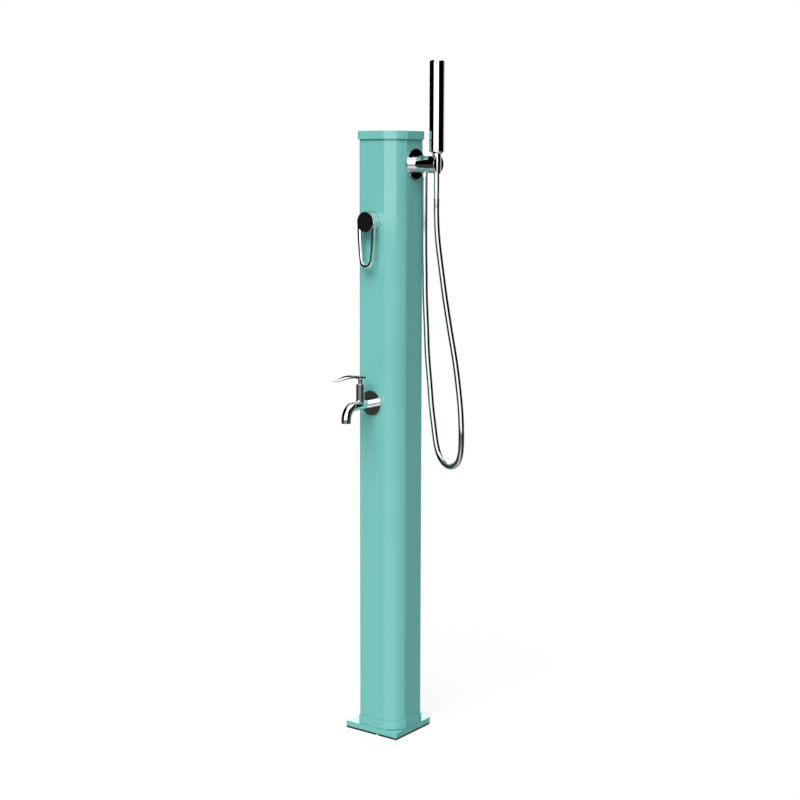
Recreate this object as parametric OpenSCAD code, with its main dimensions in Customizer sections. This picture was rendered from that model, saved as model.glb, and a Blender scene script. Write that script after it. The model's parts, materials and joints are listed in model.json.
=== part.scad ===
// Outdoor shower post: a column on a flat foot, with a turning mixer, a swan-necked tap
// and a stick hand shower in a holder that also feeds its hose.
// The origin is on the floor under the middle of the column. +Z is up, -Y is the front with
// the mixer and the tap, and +X is the side with the hand shower. Lengths are in millimetres.

/* [Column] */
// Height from the floor to the top of the cap
post_h = 1300; // [1250:10:1450]
// Width of the column, side to side
column_w = 100; // [98:1:104]
// Depth of the column, front to back
column_d = 94; // [92:1:98]
// Wall of the column
column_wall = 2.5; // [2:0.5:3]
// Radius of the one large corner, between the front and the shower's side
large_r = 34; // [31:1:36]
// Radius of the other three corners
edge_r = 4; // [3.5:0.5:6]

/* [Cap] */
// Height of the cap
cap_h = 17.5; // [15:0.5:24]
// How far the cap stands out past the column, all round
cap_overhang = 3.6; // [3:0.1:6]
// Thickness of the cap's top
cap_top_t = 4; // [3:0.5:6]
// Depth of the tongue that locates the cap inside the column
cap_tongue_h = 10; // [6:1:12]

/* [Foot] */
// Thickness of the rubber pad under the foot
pad_t = 4; // [2:0.5:6]
// Thickness of the foot plate
plate_t = 12; // [8:1:16]
// How far the plate runs past the collar, away from the shower's side
plate_left = 32; // [26:1:50]
// How far the plate runs past the collar at the back
plate_back = 50; // [36:1:60]
// Radius of the plate's two back corners
plate_back_r = 34; // [20:1:36]
// Height of the trim collar round the column
collar_h = 20; // [14:1:30]
// How far the trim collar stands out from the column
collar_out = 2.6; // [2:0.1:4]
// Height of the socket that holds the column on the plate
socket_h = 90; // [84:1:110]
// Wall of that socket
socket_wall = 4; // [3:0.5:5]
// Distance between the floor anchors, side to side
anchor_pitch_x = 52; // [48:1:54]
// Distance between the floor anchors, front to back
anchor_pitch_y = 48; // [46:1:50]
// Diameter of the four anchor holes
anchor_hole_d = 11; // [9:1:11]
// Diameter of the hole that lets the supply hoses in from the floor
supply_hole_d = 45; // [43:1:45]

/* [Mixer] */
// Distance from the top of the cap down to the mixer's axis
mixer_below_top = 187; // [187:1:300]
// Diameter of the mixer's sleeve and turning knob
knob_d = 42; // [40:1:46]
// Length of the fixed sleeve
sleeve_l = 9.5; // [9:0.5:14]
// Distance from the column to the front of the loop handle
handle_out = 22; // [20:0.5:28]
// Thickness of the loop handle
handle_t = 7; // [5:0.5:8]
// Distance from the mixer's axis to the end of the loop handle
handle_reach = 94; // [80:1:110]
// Radius of the loop handle's free end
handle_tip_r = 12.5; // [11:0.5:15]
// Width of the handle's two side straps
handle_strap = 4.2; // [3.5:0.1:5]
// Width of the strap across the handle's free end
handle_tip_strap = 6.5; // [4:0.5:8]

/* [Tap] */
// Height of the tap's axis above the floor
tap_z = 732; // [600:1:900]
// Diameter of the tap's rosette
tap_rosette_d = 52; // [46:1:60]
// Diameter of the tap's tube and spout
spout_d = 20; // [19:0.5:22]
// Distance from the column to the tap's upright
upright_out = 39.5; // [34:0.5:46]
// Diameter of the tap's upright
upright_d = 17.8; // [17:0.2:19]
// Height of the upright above the tap's axis
upright_h = 44; // [38:1:52]
// Distance from the column to the middle of the spout's outlet
spout_out = 87.3; // [80:0.5:96]
// Distance from the tap's axis down to the spout's outlet
spout_drop = 33; // [31:0.5:42]
// Bend radius of the spout's centreline
spout_bend_r = 27; // [22:1:29]
// Diameter of the tap's stem
stem_d = 9.4; // [8:0.2:10]
// Length of stem that shows between the upright and the lever
stem_gap = 11.6; // [8:0.2:16]
// Radius of the lever's hub
lever_hub_r = 14; // [12:0.5:16]
// Distance from the stem to the end of the lever
lever_reach = 84; // [70:1:95]
// Radius of the lever's free end
lever_tip_r = 8.4; // [7:0.2:9]
// Width of the lever's straps
lever_strap = 3.2; // [2.6:0.1:3.6]
// Thickness of the lever's straps
lever_t = 3.4; // [2.6:0.2:4]
// How far the lever arches up between its two ends
lever_arch = 4.4; // [2:0.2:5]

/* [Holder] */
// Distance from the top of the cap down to the holder's axis
holder_below_top = 68; // [60:1:68]
// Diameter of the holder's rosette
holder_rosette_d = 63; // [56:1:66]
// Diameter of the holder's arm
arm_d = 36; // [34:1:40]
// Length of the arm, from the column to its end
arm_l = 61; // [59:1:66]
// Distance from the column to the hose outlet under the arm
hose_out = 26; // [24:1:28]
// How far the hand shower's axis lies inside the arm's end
cradle_depth = 5; // [4:0.5:6]

/* [Hand shower] */
// Diameter of the hand shower
handset_d = 31.4; // [28:0.2:34]
// Length of the hand shower
handset_l = 187.5; // [160:0.5:220]
// Length of the spray plate
spray_l = 62; // [50:1:70]
// Width of the spray plate
spray_w = 14; // [12:0.5:16]

/* [Hose] */
// Diameter of the hose
hose_d = 12; // [10:0.5:12]

/* [Hidden] */

// Facets of round surfaces, of the long side arcs of the two loops, and of small and hidden rounds
$fn = 96;
side_arc_fn = 360;
small_fn = 32;
pipe_fn = 32;
// Overrun of every cut
cut = 1;
// Gap between pieces that stand side by side, and round a piece that turns or slides
fit_gap = 0.2;
run_gap = 0.1;
// Gap between faces of moving pieces
face_gap = 0.4;
// How far the round ends of a loop lap over its side arcs
join_lap = 0.02;

// Finishes
teal = [0.47, 0.77, 0.74];
steel = [0.86, 0.87, 0.88];
chrome_dark = [0.55, 0.57, 0.6];
brass = [0.8, 0.66, 0.36];
copper = [0.76, 0.47, 0.33];
rubber = [0.1, 0.1, 0.11];
white_plastic = [0.9, 0.9, 0.88];
grey_rubber = [0.35, 0.36, 0.38];

// Places that follow from the column
front_y = -column_d / 2;
side_x = column_w / 2;
// Middle of the flat of the front, and of the flat of the shower's side
front_x = (edge_r - large_r) / 2;
side_y = (large_r - edge_r) / 2;
plate_top = pad_t + plate_t;
column_l = post_h - cap_top_t - plate_top;
mixer_z = post_h - mixer_below_top;
holder_z = post_h - holder_below_top;
least_r = 1;

// Cap
cap_gap = 0.4;
cap_tongue_wall = 2.5;

// Foot
collar_gap = 0.5;
socket_gap = 0.5;
socket_out = -column_wall - socket_gap;
plate_front_r = 2;
drain_w = 6;
drain_l = 12;
socket_screw_z = plate_top + 44;
socket_screw_x = 24;
socket_screw_d = 5;
socket_screw_head_d = 9.5;
socket_screw_head_h = 2.6;
socket_screw_key = 4.6;
socket_screw_key_depth = 1.5;
socket_screw_tip = 2;
screw_gap = 0.1;

// Supply inlets and pipes
inlet_pitch = 24;
inlet_y = 8;
inlet_hex_d = 25.4;
inlet_neck_d = 17.8;
inlet_bore_r = 9.3;
inlet_bore_l = 14;
inlet_l = 22;
inlet_neck_l = 18;
bracket_z = plate_top + 54;
bracket_t = 3;
bracket_d = 30;
pipe_d = 12;
pipe_wall = 1;
pipe_step = 0.02;
pipe_lead = 16;
mixed_clear = 1;
pipe_seat = 10;
socket_boss_d = 18;
// Depth of the pipes behind the column's front wall
pipe_behind = 24.5;
pipe_y = front_y + column_wall + pipe_behind;
// Half the distance between the mixer's cold and hot sockets
mixer_inlet_x = 20;
cold_x = front_x - mixer_inlet_x;
hot_x = front_x + mixer_inlet_x;

// Mixer
mixer_core_d = 50;
mixer_core_l = 34;
mixer_neck_d = 36.4;
mixer_neck_l = 8;
mixer_boss_l = 42;
mixer_top_boss_l = 34;
cartridge_d = 25;
cartridge_l = 30;
cartridge_front = 2.5;
cartridge_nut_d = 30.6;
cartridge_nut_bore = 13;
cartridge_nut_t = 4.5;
mixer_hole_gap = 0.3;
sleeve_lip_d = 26;
sleeve_gap = 0.2;
spindle_d = 8;
spindle_in = 12;
spindle_top_t = 3;
knob_back = sleeve_l + face_gap;
handle_back = handle_out - handle_t;
knob_step = 0.2;
knob_face_h = 0.8;
knob_face_d = knob_d - 1.2;
knob_face_bevel = 0.5;
handle_screw_d = 4;
handle_screw_l = 6;
handle_screw_key = 2.3;
handle_screw_key_depth = 2;
handle_screw_out = (knob_back + handle_back) / 2;

// Tap
rosette_t = 3.5;
rosette_bevel = 0.8;
tap_tail_d = 16.6;
tap_tail_l = 10;
tap_hole_d = 18;
tee_barrel_d = 24;
tee_barrel_l = 32.5;
tee_half_h = 22;
headwork_d = 14.2;
headwork_foot = 9;
headwork_top = 0.6;
stem_foot = 20;
lever_hub_t = 6;
lever_seat = 4.5;
lever_screw_d = 3;
lever_screw_l = 6;
lever_screw_key = 1.7;
lever_screw_key_depth = 1.5;
lever_z = tap_z + upright_h + stem_gap;
tap_axis_y = front_y - upright_out;
aerator_d = 15.6;
aerator_l = 7;
aerator_in = 0.8;
aerator_ring = 1.8;
aerator_mesh_t = 1.5;
aerator_hole_d = 2.2;
aerator_ring_r = 3.9;
aerator_holes = 6;

// Holder
holder_rosette_t = 4;
elbow_d = 26;
elbow_l = 31;
elbow_socket_in = 18;
elbow_socket_l = 24;
nipple_d = 20.8;
nipple_bore = 14;
nipple_in = 11;
nipple_out = 12;
nipple_hole_d = 22;
water_d = 8;
hose_nut_d = 12.8;
hose_nut_l = 9;
hose_shank_d = 9.8;
hose_shank_l = 7;
arm_bevel = 0.8;

// Hose end and hand shower
cradle_out = arm_l - cradle_depth;
handset_x = side_x + cradle_out;
cone_low_d = 17;
cone_high_d = 18.4;
cone_below = 19.5;
cone_above = 21.5;
cone_gap = 0.15;
cone_l = cone_below + cone_above;
stub_d = 13.2;
stub_l = 12;
stub_gap = 0.05;
stub_room = 2;
ferrule_d = 11.7;
ferrule_l = 51.5;
ferrule_groove_w = 1.2;
ferrule_groove = 0.5;
ferrule_grooves = 3;
ferrule_groove_pitch = 4;
handset_base = holder_z + cone_above + 0.75 * face_gap;
handset_wall = 2;
handset_top_t = 3;
handset_top_r = 3;
tail_h = 3.5;
tail_low_d = 21;
tail_plug_l = 12;
spray_from_top = 45;
spray_face = 14.4;
spray_t = 3.2;
spray_gap = 0.15;
nozzle_d = 1.6;
nozzle_h = 1.1;
nozzle_rows = 11;
nozzle_pitch = 4.8;
nozzle_x = 2.8;

// Route of the hose, from the outlet under the arm to the ferrule under the hand shower
hose_route = [
    [76, 15, 1205], [76, 15, 1180], [76, 15, 1150], [76, 15, 1115], [76, 15, 1080],
    [77, 14, 1045], [79, 13, 1010], [80, 12, 975], [82, 11, 940], [85, 10, 905],
    [88, 8, 870], [92, 5, 835], [98, 2, 800], [104, -1, 765], [110, -5, 730],
    [119, -10, 697], [125, -13, 672], [131, -16, 651], [141, -20, 631], [156, -26, 619],
    [175, -34, 614], [194, -42, 619], [209, -48, 631], [217, -52, 650], [219, -53, 673],
    [218, -52, 700], [215, -50, 730], [209, -46, 760], [202, -42, 790], [193, -36, 820],
    [183, -30, 850], [171, -24, 885], [159, -17, 920], [147, -10, 955], [136, -3, 990],
    [126, 3, 1025], [116, 9, 1060], [109, 13, 1095], [106, 15, 1130], [106, 15, 1146],
    [106, 15, 1161]];
hose_steps = 2;
hose_sides = 10;
// A level direction square to the plane that the hose hangs in
hose_across = [0.51, 0.86, 0];

// What lies outside a corner of radius r at x, y, on a shape that reaches there from -sx, -sy
module corner_sliver(x, y, r, sx, sy) {
    difference() {
        translate([x - (sx > 0 ? r : cut), y - (sy > 0 ? r : cut)]) square(r + cut);
        translate([x - sx * r, y - sy * r]) circle(r);
    }
}

// The column's outline, grown all round by out, or shrunk where out is negative
module column_outline(out) {
    x = side_x + out;
    y = column_d / 2 + out;
    small_r = max(edge_r + out, least_r);
    difference() {
        translate([-x, -y]) square([2 * x, 2 * y]);
        corner_sliver(x, -y, large_r + out, 1, -1);
        corner_sliver(-x, -y, small_r, -1, -1);
        corner_sliver(-x, y, small_r, -1, 1);
        corner_sliver(x, y, small_r, 1, 1);
    }
}

// The foot's outline: flush with the collar at the front and on the shower's side
module foot_outline() {
    left = -side_x - collar_out - plate_left;
    right = side_x + collar_out;
    low = front_y - collar_out;
    high = column_d / 2 + collar_out + plate_back;
    difference() {
        translate([left, low]) square([right - left, high - low]);
        corner_sliver(left, low, plate_front_r, -1, -1);
        corner_sliver(right, low, plate_front_r, 1, -1);
        corner_sliver(right, high, plate_back_r, 1, 1);
        corner_sliver(left, high, plate_back_r, -1, 1);
        translate([0, inlet_y]) circle(d = supply_hole_d);
        for (x = [-1, 1], y = [-1, 1])
            translate([x * anchor_pitch_x / 2, y * anchor_pitch_y / 2]) circle(d = anchor_hole_d);
    }
}

// A closed loop that hangs from a round hub: the sides are long arcs that meet the hub and the tip
// without a corner
module loop_outline(hub_r, tip_r, reach) {
    drop = reach - tip_r;
    side_r = (drop * drop + hub_r * hub_r - tip_r * tip_r) / (2 * (hub_r - tip_r));
    join = drop * side_r / (side_r - tip_r);
    circle(hub_r + join_lap);
    translate([0, -drop]) circle(tip_r + join_lap);
    intersection() {
        translate([side_r - hub_r, 0]) circle(side_r, $fn = side_arc_fn);
        translate([hub_r - side_r, 0]) circle(side_r, $fn = side_arc_fn);
        translate([-hub_r, -join]) square([2 * hub_r, join]);
    }
}

// The same loop with its window cut out, which starts at the hub
module open_loop(hub_r, tip_r, reach, strap, tip_strap) {
    difference() {
        loop_outline(hub_r, tip_r, reach);
        difference() {
            loop_outline(hub_r - strap, tip_r - strap, reach - tip_strap);
            circle(hub_r);
        }
    }
}

// A slot with round ends, long along y
module stadium(w, l) {
    straight = l - w;
    translate([-w / 2, -straight / 2]) square([w, straight]);
    for (end = [-1, 1]) translate([0, end * straight / 2]) circle(d = w);
}

// Puts children in front of the column: local z leaves the front wall, and y is up
module out_of_front(z) {
    translate([front_x, front_y, z]) rotate([90, 0, 0]) children();
}

// Puts children on the shower's side: local z leaves the wall, and y is up
module out_of_side(z) {
    translate([side_x, side_y, z]) rotate([90, 0, 90]) children();
}

// A flat ring with a bevelled front edge
module rosette(d, bore, t, bevel) {
    difference() {
        union() {
            cylinder(h = t - bevel, d = d);
            translate([0, 0, t - bevel]) cylinder(h = bevel, d1 = d, d2 = d - 2 * bevel);
        }
        translate([0, 0, -cut]) cylinder(h = t + 2 * cut, d = bore);
    }
}

// A round rod that rises from z0 to z1 through two equal quarter bends, side away from its start
module bent_rod(d, side, z0, z1, lead) {
    bend_r = side / 2;
    start = z0 + lead;
    translate([0, 0, z0]) cylinder(h = lead, d = d, $fn = pipe_fn);
    translate([bend_r, 0, start]) rotate([90, 0, 0]) rotate([0, 0, 90])
        rotate_extrude(angle = 90, $fn = pipe_fn) translate([bend_r, 0]) circle(d = d);
    translate([bend_r, 0, start + side]) rotate([90, 0, 0]) rotate([0, 0, -90])
        rotate_extrude(angle = 90, $fn = pipe_fn) translate([bend_r, 0]) circle(d = d);
    translate([side, 0, start + side]) cylinder(h = z1 - start - side, d = d, $fn = pipe_fn);
}

// A tube that rises from one place to another in plan
module riser(from, to, z0, z1, lead) {
    run = to - from;
    side = round(norm(run) / pipe_step) * pipe_step;
    translate([from.x, from.y, 0]) rotate([0, 0, atan2(run.y, run.x)]) difference() {
        bent_rod(pipe_d, side, z0, z1, lead);
        translate([0, 0, z0 - cut]) cylinder(h = cut, d = pipe_d - 2 * pipe_wall, $fn = pipe_fn);
        bent_rod(pipe_d - 2 * pipe_wall, side, z0, z1, lead);
    }
}

// A set screw with a six-sided key hole in its outer end, along z
module set_screw(d, l, key, key_depth) {
    difference() {
        cylinder(h = l, d = d, $fn = small_fn);
        translate([0, 0, l - key_depth]) cylinder(h = key_depth + cut, d = key, $fn = 6);
    }
}

// Foot

module floor_pad() {
    color(rubber) difference() {
        linear_extrude(pad_t) foot_outline();
        translate([-drain_w / 2, front_y - collar_out - cut, -cut])
            cube([drain_w, drain_l + cut, pad_t + 2 * cut]);
    }
}

module foot_plate() {
    color(teal) translate([0, 0, pad_t]) linear_extrude(plate_t) foot_outline();
}

module foot_socket() {
    color(steel) difference() {
        translate([0, 0, plate_top]) linear_extrude(socket_h) difference() {
            column_outline(socket_out);
            column_outline(socket_out - socket_wall);
        }
        screw_places() translate([0, 0, -column_wall - socket_gap - socket_wall - cut])
            cylinder(h = socket_wall + 2 * cut, d = socket_screw_d + 2 * screw_gap, $fn = small_fn);
    }
}

module screw_places() {
    for (x = [-1, 1]) translate([x * socket_screw_x, column_d / 2, socket_screw_z])
        rotate([-90, 0, 0]) children();
}

module socket_screws() {
    shank = column_wall + socket_gap + socket_wall + socket_screw_tip;
    color(chrome_dark) screw_places() difference() {
        union() {
            cylinder(h = socket_screw_head_h, d = socket_screw_head_d, $fn = small_fn);
            translate([0, 0, -shank]) cylinder(h = shank, d = socket_screw_d, $fn = small_fn);
        }
        translate([0, 0, socket_screw_head_h - socket_screw_key_depth])
            cylinder(h = socket_screw_key_depth + cut, d = socket_screw_key, $fn = 6);
    }
}

module foot_collar() {
    color(teal) translate([0, 0, plate_top]) linear_extrude(collar_h) difference() {
        column_outline(collar_out);
        column_outline(collar_gap);
    }
}

// Column and cap

module column() {
    through = column_wall + 2 * cut;
    color(teal) difference() {
        translate([0, 0, plate_top]) linear_extrude(column_l) difference() {
            column_outline(0);
            column_outline(-column_wall);
        }
        out_of_front(mixer_z) translate([0, 0, -column_wall - cut])
            cylinder(h = through, d = mixer_neck_d + 2 * mixer_hole_gap);
        out_of_front(tap_z) translate([0, 0, -column_wall - cut]) cylinder(h = through, d = tap_hole_d);
        out_of_side(holder_z) translate([0, 0, -column_wall - cut]) cylinder(h = through, d = nipple_hole_d);
        screw_places() translate([0, 0, -column_wall - cut])
            cylinder(h = through, d = socket_screw_d + 4 * screw_gap, $fn = small_fn);
    }
}

module top_cap() {
    tongue_out = -column_wall - cap_gap;
    color(teal) {
        translate([0, 0, post_h - cap_h]) difference() {
            linear_extrude(cap_h) column_outline(cap_overhang);
            translate([0, 0, -cut]) linear_extrude(cap_h - cap_top_t + cut) column_outline(cap_gap);
        }
        translate([0, 0, post_h - cap_top_t - cap_tongue_h]) linear_extrude(cap_tongue_h + cap_top_t / 2)
            difference() {
                column_outline(tongue_out);
                column_outline(tongue_out - cap_tongue_wall);
            }
    }
}

// Pipes inside the column

module inlet_bracket() {
    half = side_x + socket_out - socket_wall;
    color(steel) difference() {
        translate([-half, inlet_y - bracket_d / 2, bracket_z]) cube([2 * half, bracket_d, bracket_t]);
        for (x = [-1, 1]) translate([x * inlet_pitch / 2, inlet_y, bracket_z - cut])
            cylinder(h = bracket_t + 2 * cut, d = inlet_neck_d + 2 * fit_gap);
    }
}

// A union that hangs under the bracket: a threaded socket below, and a seat for the pipe above
module inlet(x) {
    translate([x, inlet_y, bracket_z]) difference() {
        union() {
            translate([0, 0, -inlet_l]) rotate([0, 0, 30]) cylinder(h = inlet_l, d = inlet_hex_d, $fn = 6);
            translate([0, 0, -cut]) cylinder(h = inlet_neck_l + cut, d = inlet_neck_d);
        }
        translate([0, 0, -inlet_l - cut]) cylinder(h = inlet_bore_l + cut, r = inlet_bore_r);
        translate([0, 0, inlet_neck_l - pipe_seat]) cylinder(h = pipe_seat + cut, d = pipe_d + 2 * run_gap);
        translate([0, 0, -inlet_l]) cylinder(h = inlet_l + inlet_neck_l, d = pipe_d - 2 * pipe_wall);
    }
}

module cold_inlet() {
    color(brass) inlet(-inlet_pitch / 2);
}

module hot_inlet() {
    color(brass) inlet(inlet_pitch / 2);
}

inlet_seat_z = bracket_z + inlet_neck_l - pipe_seat;
mixer_seat_z = mixer_z - mixer_boss_l + pipe_seat;

module cold_pipe() {
    color(copper) riser([-inlet_pitch / 2, inlet_y], [cold_x, pipe_y], inlet_seat_z,
        tap_z - tee_half_h + pipe_seat, pipe_lead);
}

module cold_riser() {
    low = tap_z + tee_half_h - pipe_seat;
    color(copper) translate([cold_x, pipe_y, low]) difference() {
        cylinder(h = mixer_seat_z - low, d = pipe_d, $fn = pipe_fn);
        translate([0, 0, -cut])
            cylinder(h = mixer_seat_z - low + 2 * cut, d = pipe_d - 2 * pipe_wall, $fn = pipe_fn);
    }
}

module hot_riser() {
    color(copper) riser([inlet_pitch / 2, inlet_y], [hot_x, pipe_y], inlet_seat_z, mixer_seat_z, pipe_lead);
}

module mixed_pipe() {
    color(copper) riser([front_x, pipe_y], [side_x - column_wall - elbow_socket_in, side_y],
        mixer_z + mixer_top_boss_l - pipe_seat, holder_z - elbow_socket_l + pipe_seat, pipe_seat + mixed_clear);
}

// Mixer

module mixer_body() {
    seat_d = pipe_d + 2 * run_gap;
    color(brass) difference() {
        union() {
            out_of_front(mixer_z) {
                translate([0, 0, -column_wall - mixer_core_l]) cylinder(h = mixer_core_l, d = mixer_core_d);
                translate([0, 0, -column_wall - mixer_core_l])
                    cylinder(h = mixer_core_l + column_wall + mixer_neck_l, d = mixer_neck_d);
            }
            for (x = [cold_x, hot_x]) translate([x, pipe_y, mixer_z - mixer_boss_l])
                cylinder(h = mixer_boss_l, d = socket_boss_d);
            translate([front_x, pipe_y, mixer_z]) cylinder(h = mixer_top_boss_l, d = socket_boss_d);
        }
        for (x = [cold_x, hot_x]) translate([x, pipe_y, mixer_seat_z - pipe_seat - cut])
            cylinder(h = pipe_seat + cut, d = seat_d);
        translate([front_x, pipe_y, mixer_z + mixer_top_boss_l - pipe_seat])
            cylinder(h = pipe_seat + cut, d = seat_d);
        out_of_front(mixer_z) {
            translate([0, 0, cartridge_front - cartridge_l])
                cylinder(h = cartridge_l + mixer_neck_l, d = cartridge_d + 2 * fit_gap);
            translate([0, 0, cartridge_front])
                cylinder(h = mixer_neck_l, d = cartridge_nut_d + 2 * fit_gap);
        }
    }
}

module mixer_cartridge() {
    color(white_plastic) out_of_front(mixer_z) difference() {
        translate([0, 0, cartridge_front - cartridge_l]) cylinder(h = cartridge_l, d = cartridge_d);
        translate([0, 0, -spindle_in])
            cylinder(h = spindle_in + cartridge_front + cut, d = spindle_d + 2 * run_gap);
    }
}

module cartridge_nut() {
    color(brass) out_of_front(mixer_z) translate([0, 0, cartridge_front])
        rosette(cartridge_nut_d, cartridge_nut_bore, cartridge_nut_t, knob_face_bevel);
}

module mixer_sleeve() {
    color(steel) out_of_front(mixer_z) difference() {
        cylinder(h = sleeve_l, d = knob_d);
        translate([0, 0, -cut])
            cylinder(h = mixer_neck_l + sleeve_gap + cut, d = mixer_neck_d + 2 * sleeve_gap);
        cylinder(h = sleeve_l + cut, d = sleeve_lip_d);
    }
}

module mixer_handle() {
    face = knob_face_h - knob_face_bevel;
    color(steel) out_of_front(mixer_z) difference() {
        union() {
            translate([0, 0, knob_back])
                cylinder(h = handle_out - handle_t / 2 - knob_back, d = knob_d - 2 * knob_step);
            translate([0, 0, handle_out - handle_t / 2]) cylinder(h = handle_t / 2 + face, d = knob_face_d);
            translate([0, 0, handle_out + face])
                cylinder(h = knob_face_bevel, d1 = knob_face_d, d2 = knob_face_d - 2 * knob_face_bevel);
            translate([0, 0, handle_back]) linear_extrude(handle_t)
                open_loop(knob_d / 2, handle_tip_r, handle_reach, handle_strap, handle_tip_strap);
        }
        translate([0, 0, knob_back - cut])
            cylinder(h = handle_out - spindle_top_t - knob_back + cut, d = spindle_d + 2 * screw_gap);
        translate([0, 0, handle_screw_out]) rotate([90, 0, 0])
            cylinder(h = knob_d / 2 + cut, d = handle_screw_d + 2 * screw_gap, $fn = small_fn);
    }
}

module mixer_spindle() {
    color(brass) out_of_front(mixer_z) translate([0, 0, face_gap - spindle_in])
        cylinder(h = spindle_in - face_gap + handle_out - spindle_top_t, d = spindle_d);
}

module mixer_handle_screw() {
    color(chrome_dark) out_of_front(mixer_z) translate([0, 0, handle_screw_out]) rotate([90, 0, 0])
        translate([0, 0, spindle_d / 2 + screw_gap])
            set_screw(handle_screw_d, handle_screw_l, handle_screw_key, handle_screw_key_depth);
}

// Tap

module tap_tee() {
    seat_d = pipe_d + 2 * run_gap;
    color(brass) difference() {
        union() {
            out_of_front(tap_z) translate([0, 0, -column_wall - tee_barrel_l])
                cylinder(h = tee_barrel_l, d = tee_barrel_d);
            translate([cold_x, pipe_y, tap_z - tee_half_h]) cylinder(h = 2 * tee_half_h, d = socket_boss_d);
            translate([cold_x, pipe_y - socket_boss_d / 2, tap_z - socket_boss_d / 2])
                cube([front_x - cold_x, socket_boss_d, socket_boss_d]);
        }
        for (z = [tap_z - tee_half_h - cut, tap_z + tee_half_h - pipe_seat])
            translate([cold_x, pipe_y, z]) cylinder(h = pipe_seat + cut, d = seat_d);
        out_of_front(tap_z) translate([0, 0, -column_wall - tap_tail_l - fit_gap])
            cylinder(h = tap_tail_l + fit_gap + cut, d = tap_tail_d + 2 * fit_gap);
    }
}

module tap_rosette() {
    color(steel) out_of_front(tap_z) rosette(tap_rosette_d, spout_d + 2 * fit_gap, rosette_t, rosette_bevel);
}

module tap_body() {
    bend_out = spout_out - spout_bend_r;
    color(steel) out_of_front(tap_z) difference() {
        union() {
            translate([0, 0, -column_wall - tap_tail_l])
                cylinder(h = tap_tail_l + column_wall + rosette_t, d = tap_tail_d);
            cylinder(h = bend_out, d = spout_d);
            translate([0, -spout_bend_r, bend_out]) rotate([0, -90, 0])
                rotate_extrude(angle = 90) translate([spout_bend_r, 0]) circle(d = spout_d);
            translate([0, -spout_bend_r, spout_out]) rotate([90, 0, 0])
                cylinder(h = spout_drop - spout_bend_r, d = spout_d);
            translate([0, 0, upright_out]) rotate([-90, 0, 0]) cylinder(h = upright_h, d = upright_d);
        }
        translate([0, headwork_foot, upright_out]) rotate([-90, 0, 0])
            cylinder(h = upright_h, d = headwork_d + 2 * run_gap);
        translate([0, -spout_drop - cut, spout_out]) rotate([-90, 0, 0])
            cylinder(h = aerator_l + aerator_in + cut, d = aerator_d + 2 * fit_gap);
    }
}

module tap_headwork() {
    color(brass) out_of_front(tap_z) translate([0, 0, upright_out]) rotate([-90, 0, 0]) difference() {
        translate([0, 0, headwork_foot]) cylinder(h = upright_h - headwork_foot + headwork_top, d = headwork_d);
        translate([0, 0, stem_foot]) cylinder(h = upright_h, d = stem_d + 2 * run_gap);
    }
}

module tap_aerator() {
    color(chrome_dark) out_of_front(tap_z) translate([0, -spout_drop + aerator_in, spout_out])
        rotate([-90, 0, 0]) difference() {
            cylinder(h = aerator_l, d = aerator_d);
            translate([0, 0, -cut]) cylinder(h = cut + aerator_mesh_t, d = aerator_d - 2 * aerator_ring);
            translate([0, 0, 2 * aerator_mesh_t])
                cylinder(h = aerator_l, d = aerator_d - 2 * aerator_ring);
            translate([0, 0, -cut]) cylinder(h = aerator_l + 2 * cut, d = aerator_hole_d, $fn = small_fn);
            for (i = [0 : aerator_holes - 1]) rotate([0, 0, i * 360 / aerator_holes])
                translate([aerator_ring_r, 0, -cut])
                    cylinder(h = aerator_l + 2 * cut, d = aerator_hole_d, $fn = small_fn);
        }
}

module tap_spindle() {
    foot = tap_z + stem_foot + face_gap;
    color(steel) translate([front_x, tap_axis_y, foot]) cylinder(h = lever_z + lever_seat - foot, d = stem_d);
}

// A flat hub on the stem, and an open loop that arches up on its way to the tip
module tap_lever() {
    arch_r = (lever_reach * lever_reach / 4 + lever_arch * lever_arch) / (2 * lever_arch);
    band_z = lever_hub_t / 2 + lever_arch - arch_r;
    color(steel) translate([front_x, tap_axis_y, lever_z]) difference() {
        union() {
            cylinder(h = lever_hub_t, r = lever_hub_r);
            intersection() {
                translate([0, 0, -lever_hub_t]) linear_extrude(4 * lever_hub_t)
                    open_loop(lever_hub_r, lever_tip_r, lever_reach, lever_strap, lever_strap);
                translate([-lever_hub_r - cut, -lever_reach / 2, band_z]) rotate([0, 90, 0]) difference() {
                    cylinder(h = 2 * (lever_hub_r + cut), r = arch_r + lever_t / 2, $fn = side_arc_fn);
                    translate([0, 0, -cut])
                        cylinder(h = 2 * (lever_hub_r + 2 * cut), r = arch_r - lever_t / 2, $fn = side_arc_fn);
                }
                translate([-lever_hub_r, -lever_reach - cut, -lever_hub_t])
                    cube([2 * lever_hub_r, lever_reach + cut, 4 * lever_hub_t]);
            }
        }
        translate([0, 0, -cut]) cylinder(h = lever_seat + cut, d = stem_d + 2 * screw_gap);
        translate([0, 0, lever_seat / 2]) rotate([-90, 0, 0])
            cylinder(h = lever_hub_r + cut, d = lever_screw_d + 2 * screw_gap, $fn = small_fn);
    }
}

module tap_lever_screw() {
    color(chrome_dark) translate([front_x, tap_axis_y, lever_z + lever_seat / 2]) rotate([-90, 0, 0])
        translate([0, 0, stem_d / 2 + screw_gap])
            set_screw(lever_screw_d, lever_screw_l, lever_screw_key, lever_screw_key_depth);
}

// Holder and hose outlet

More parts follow.
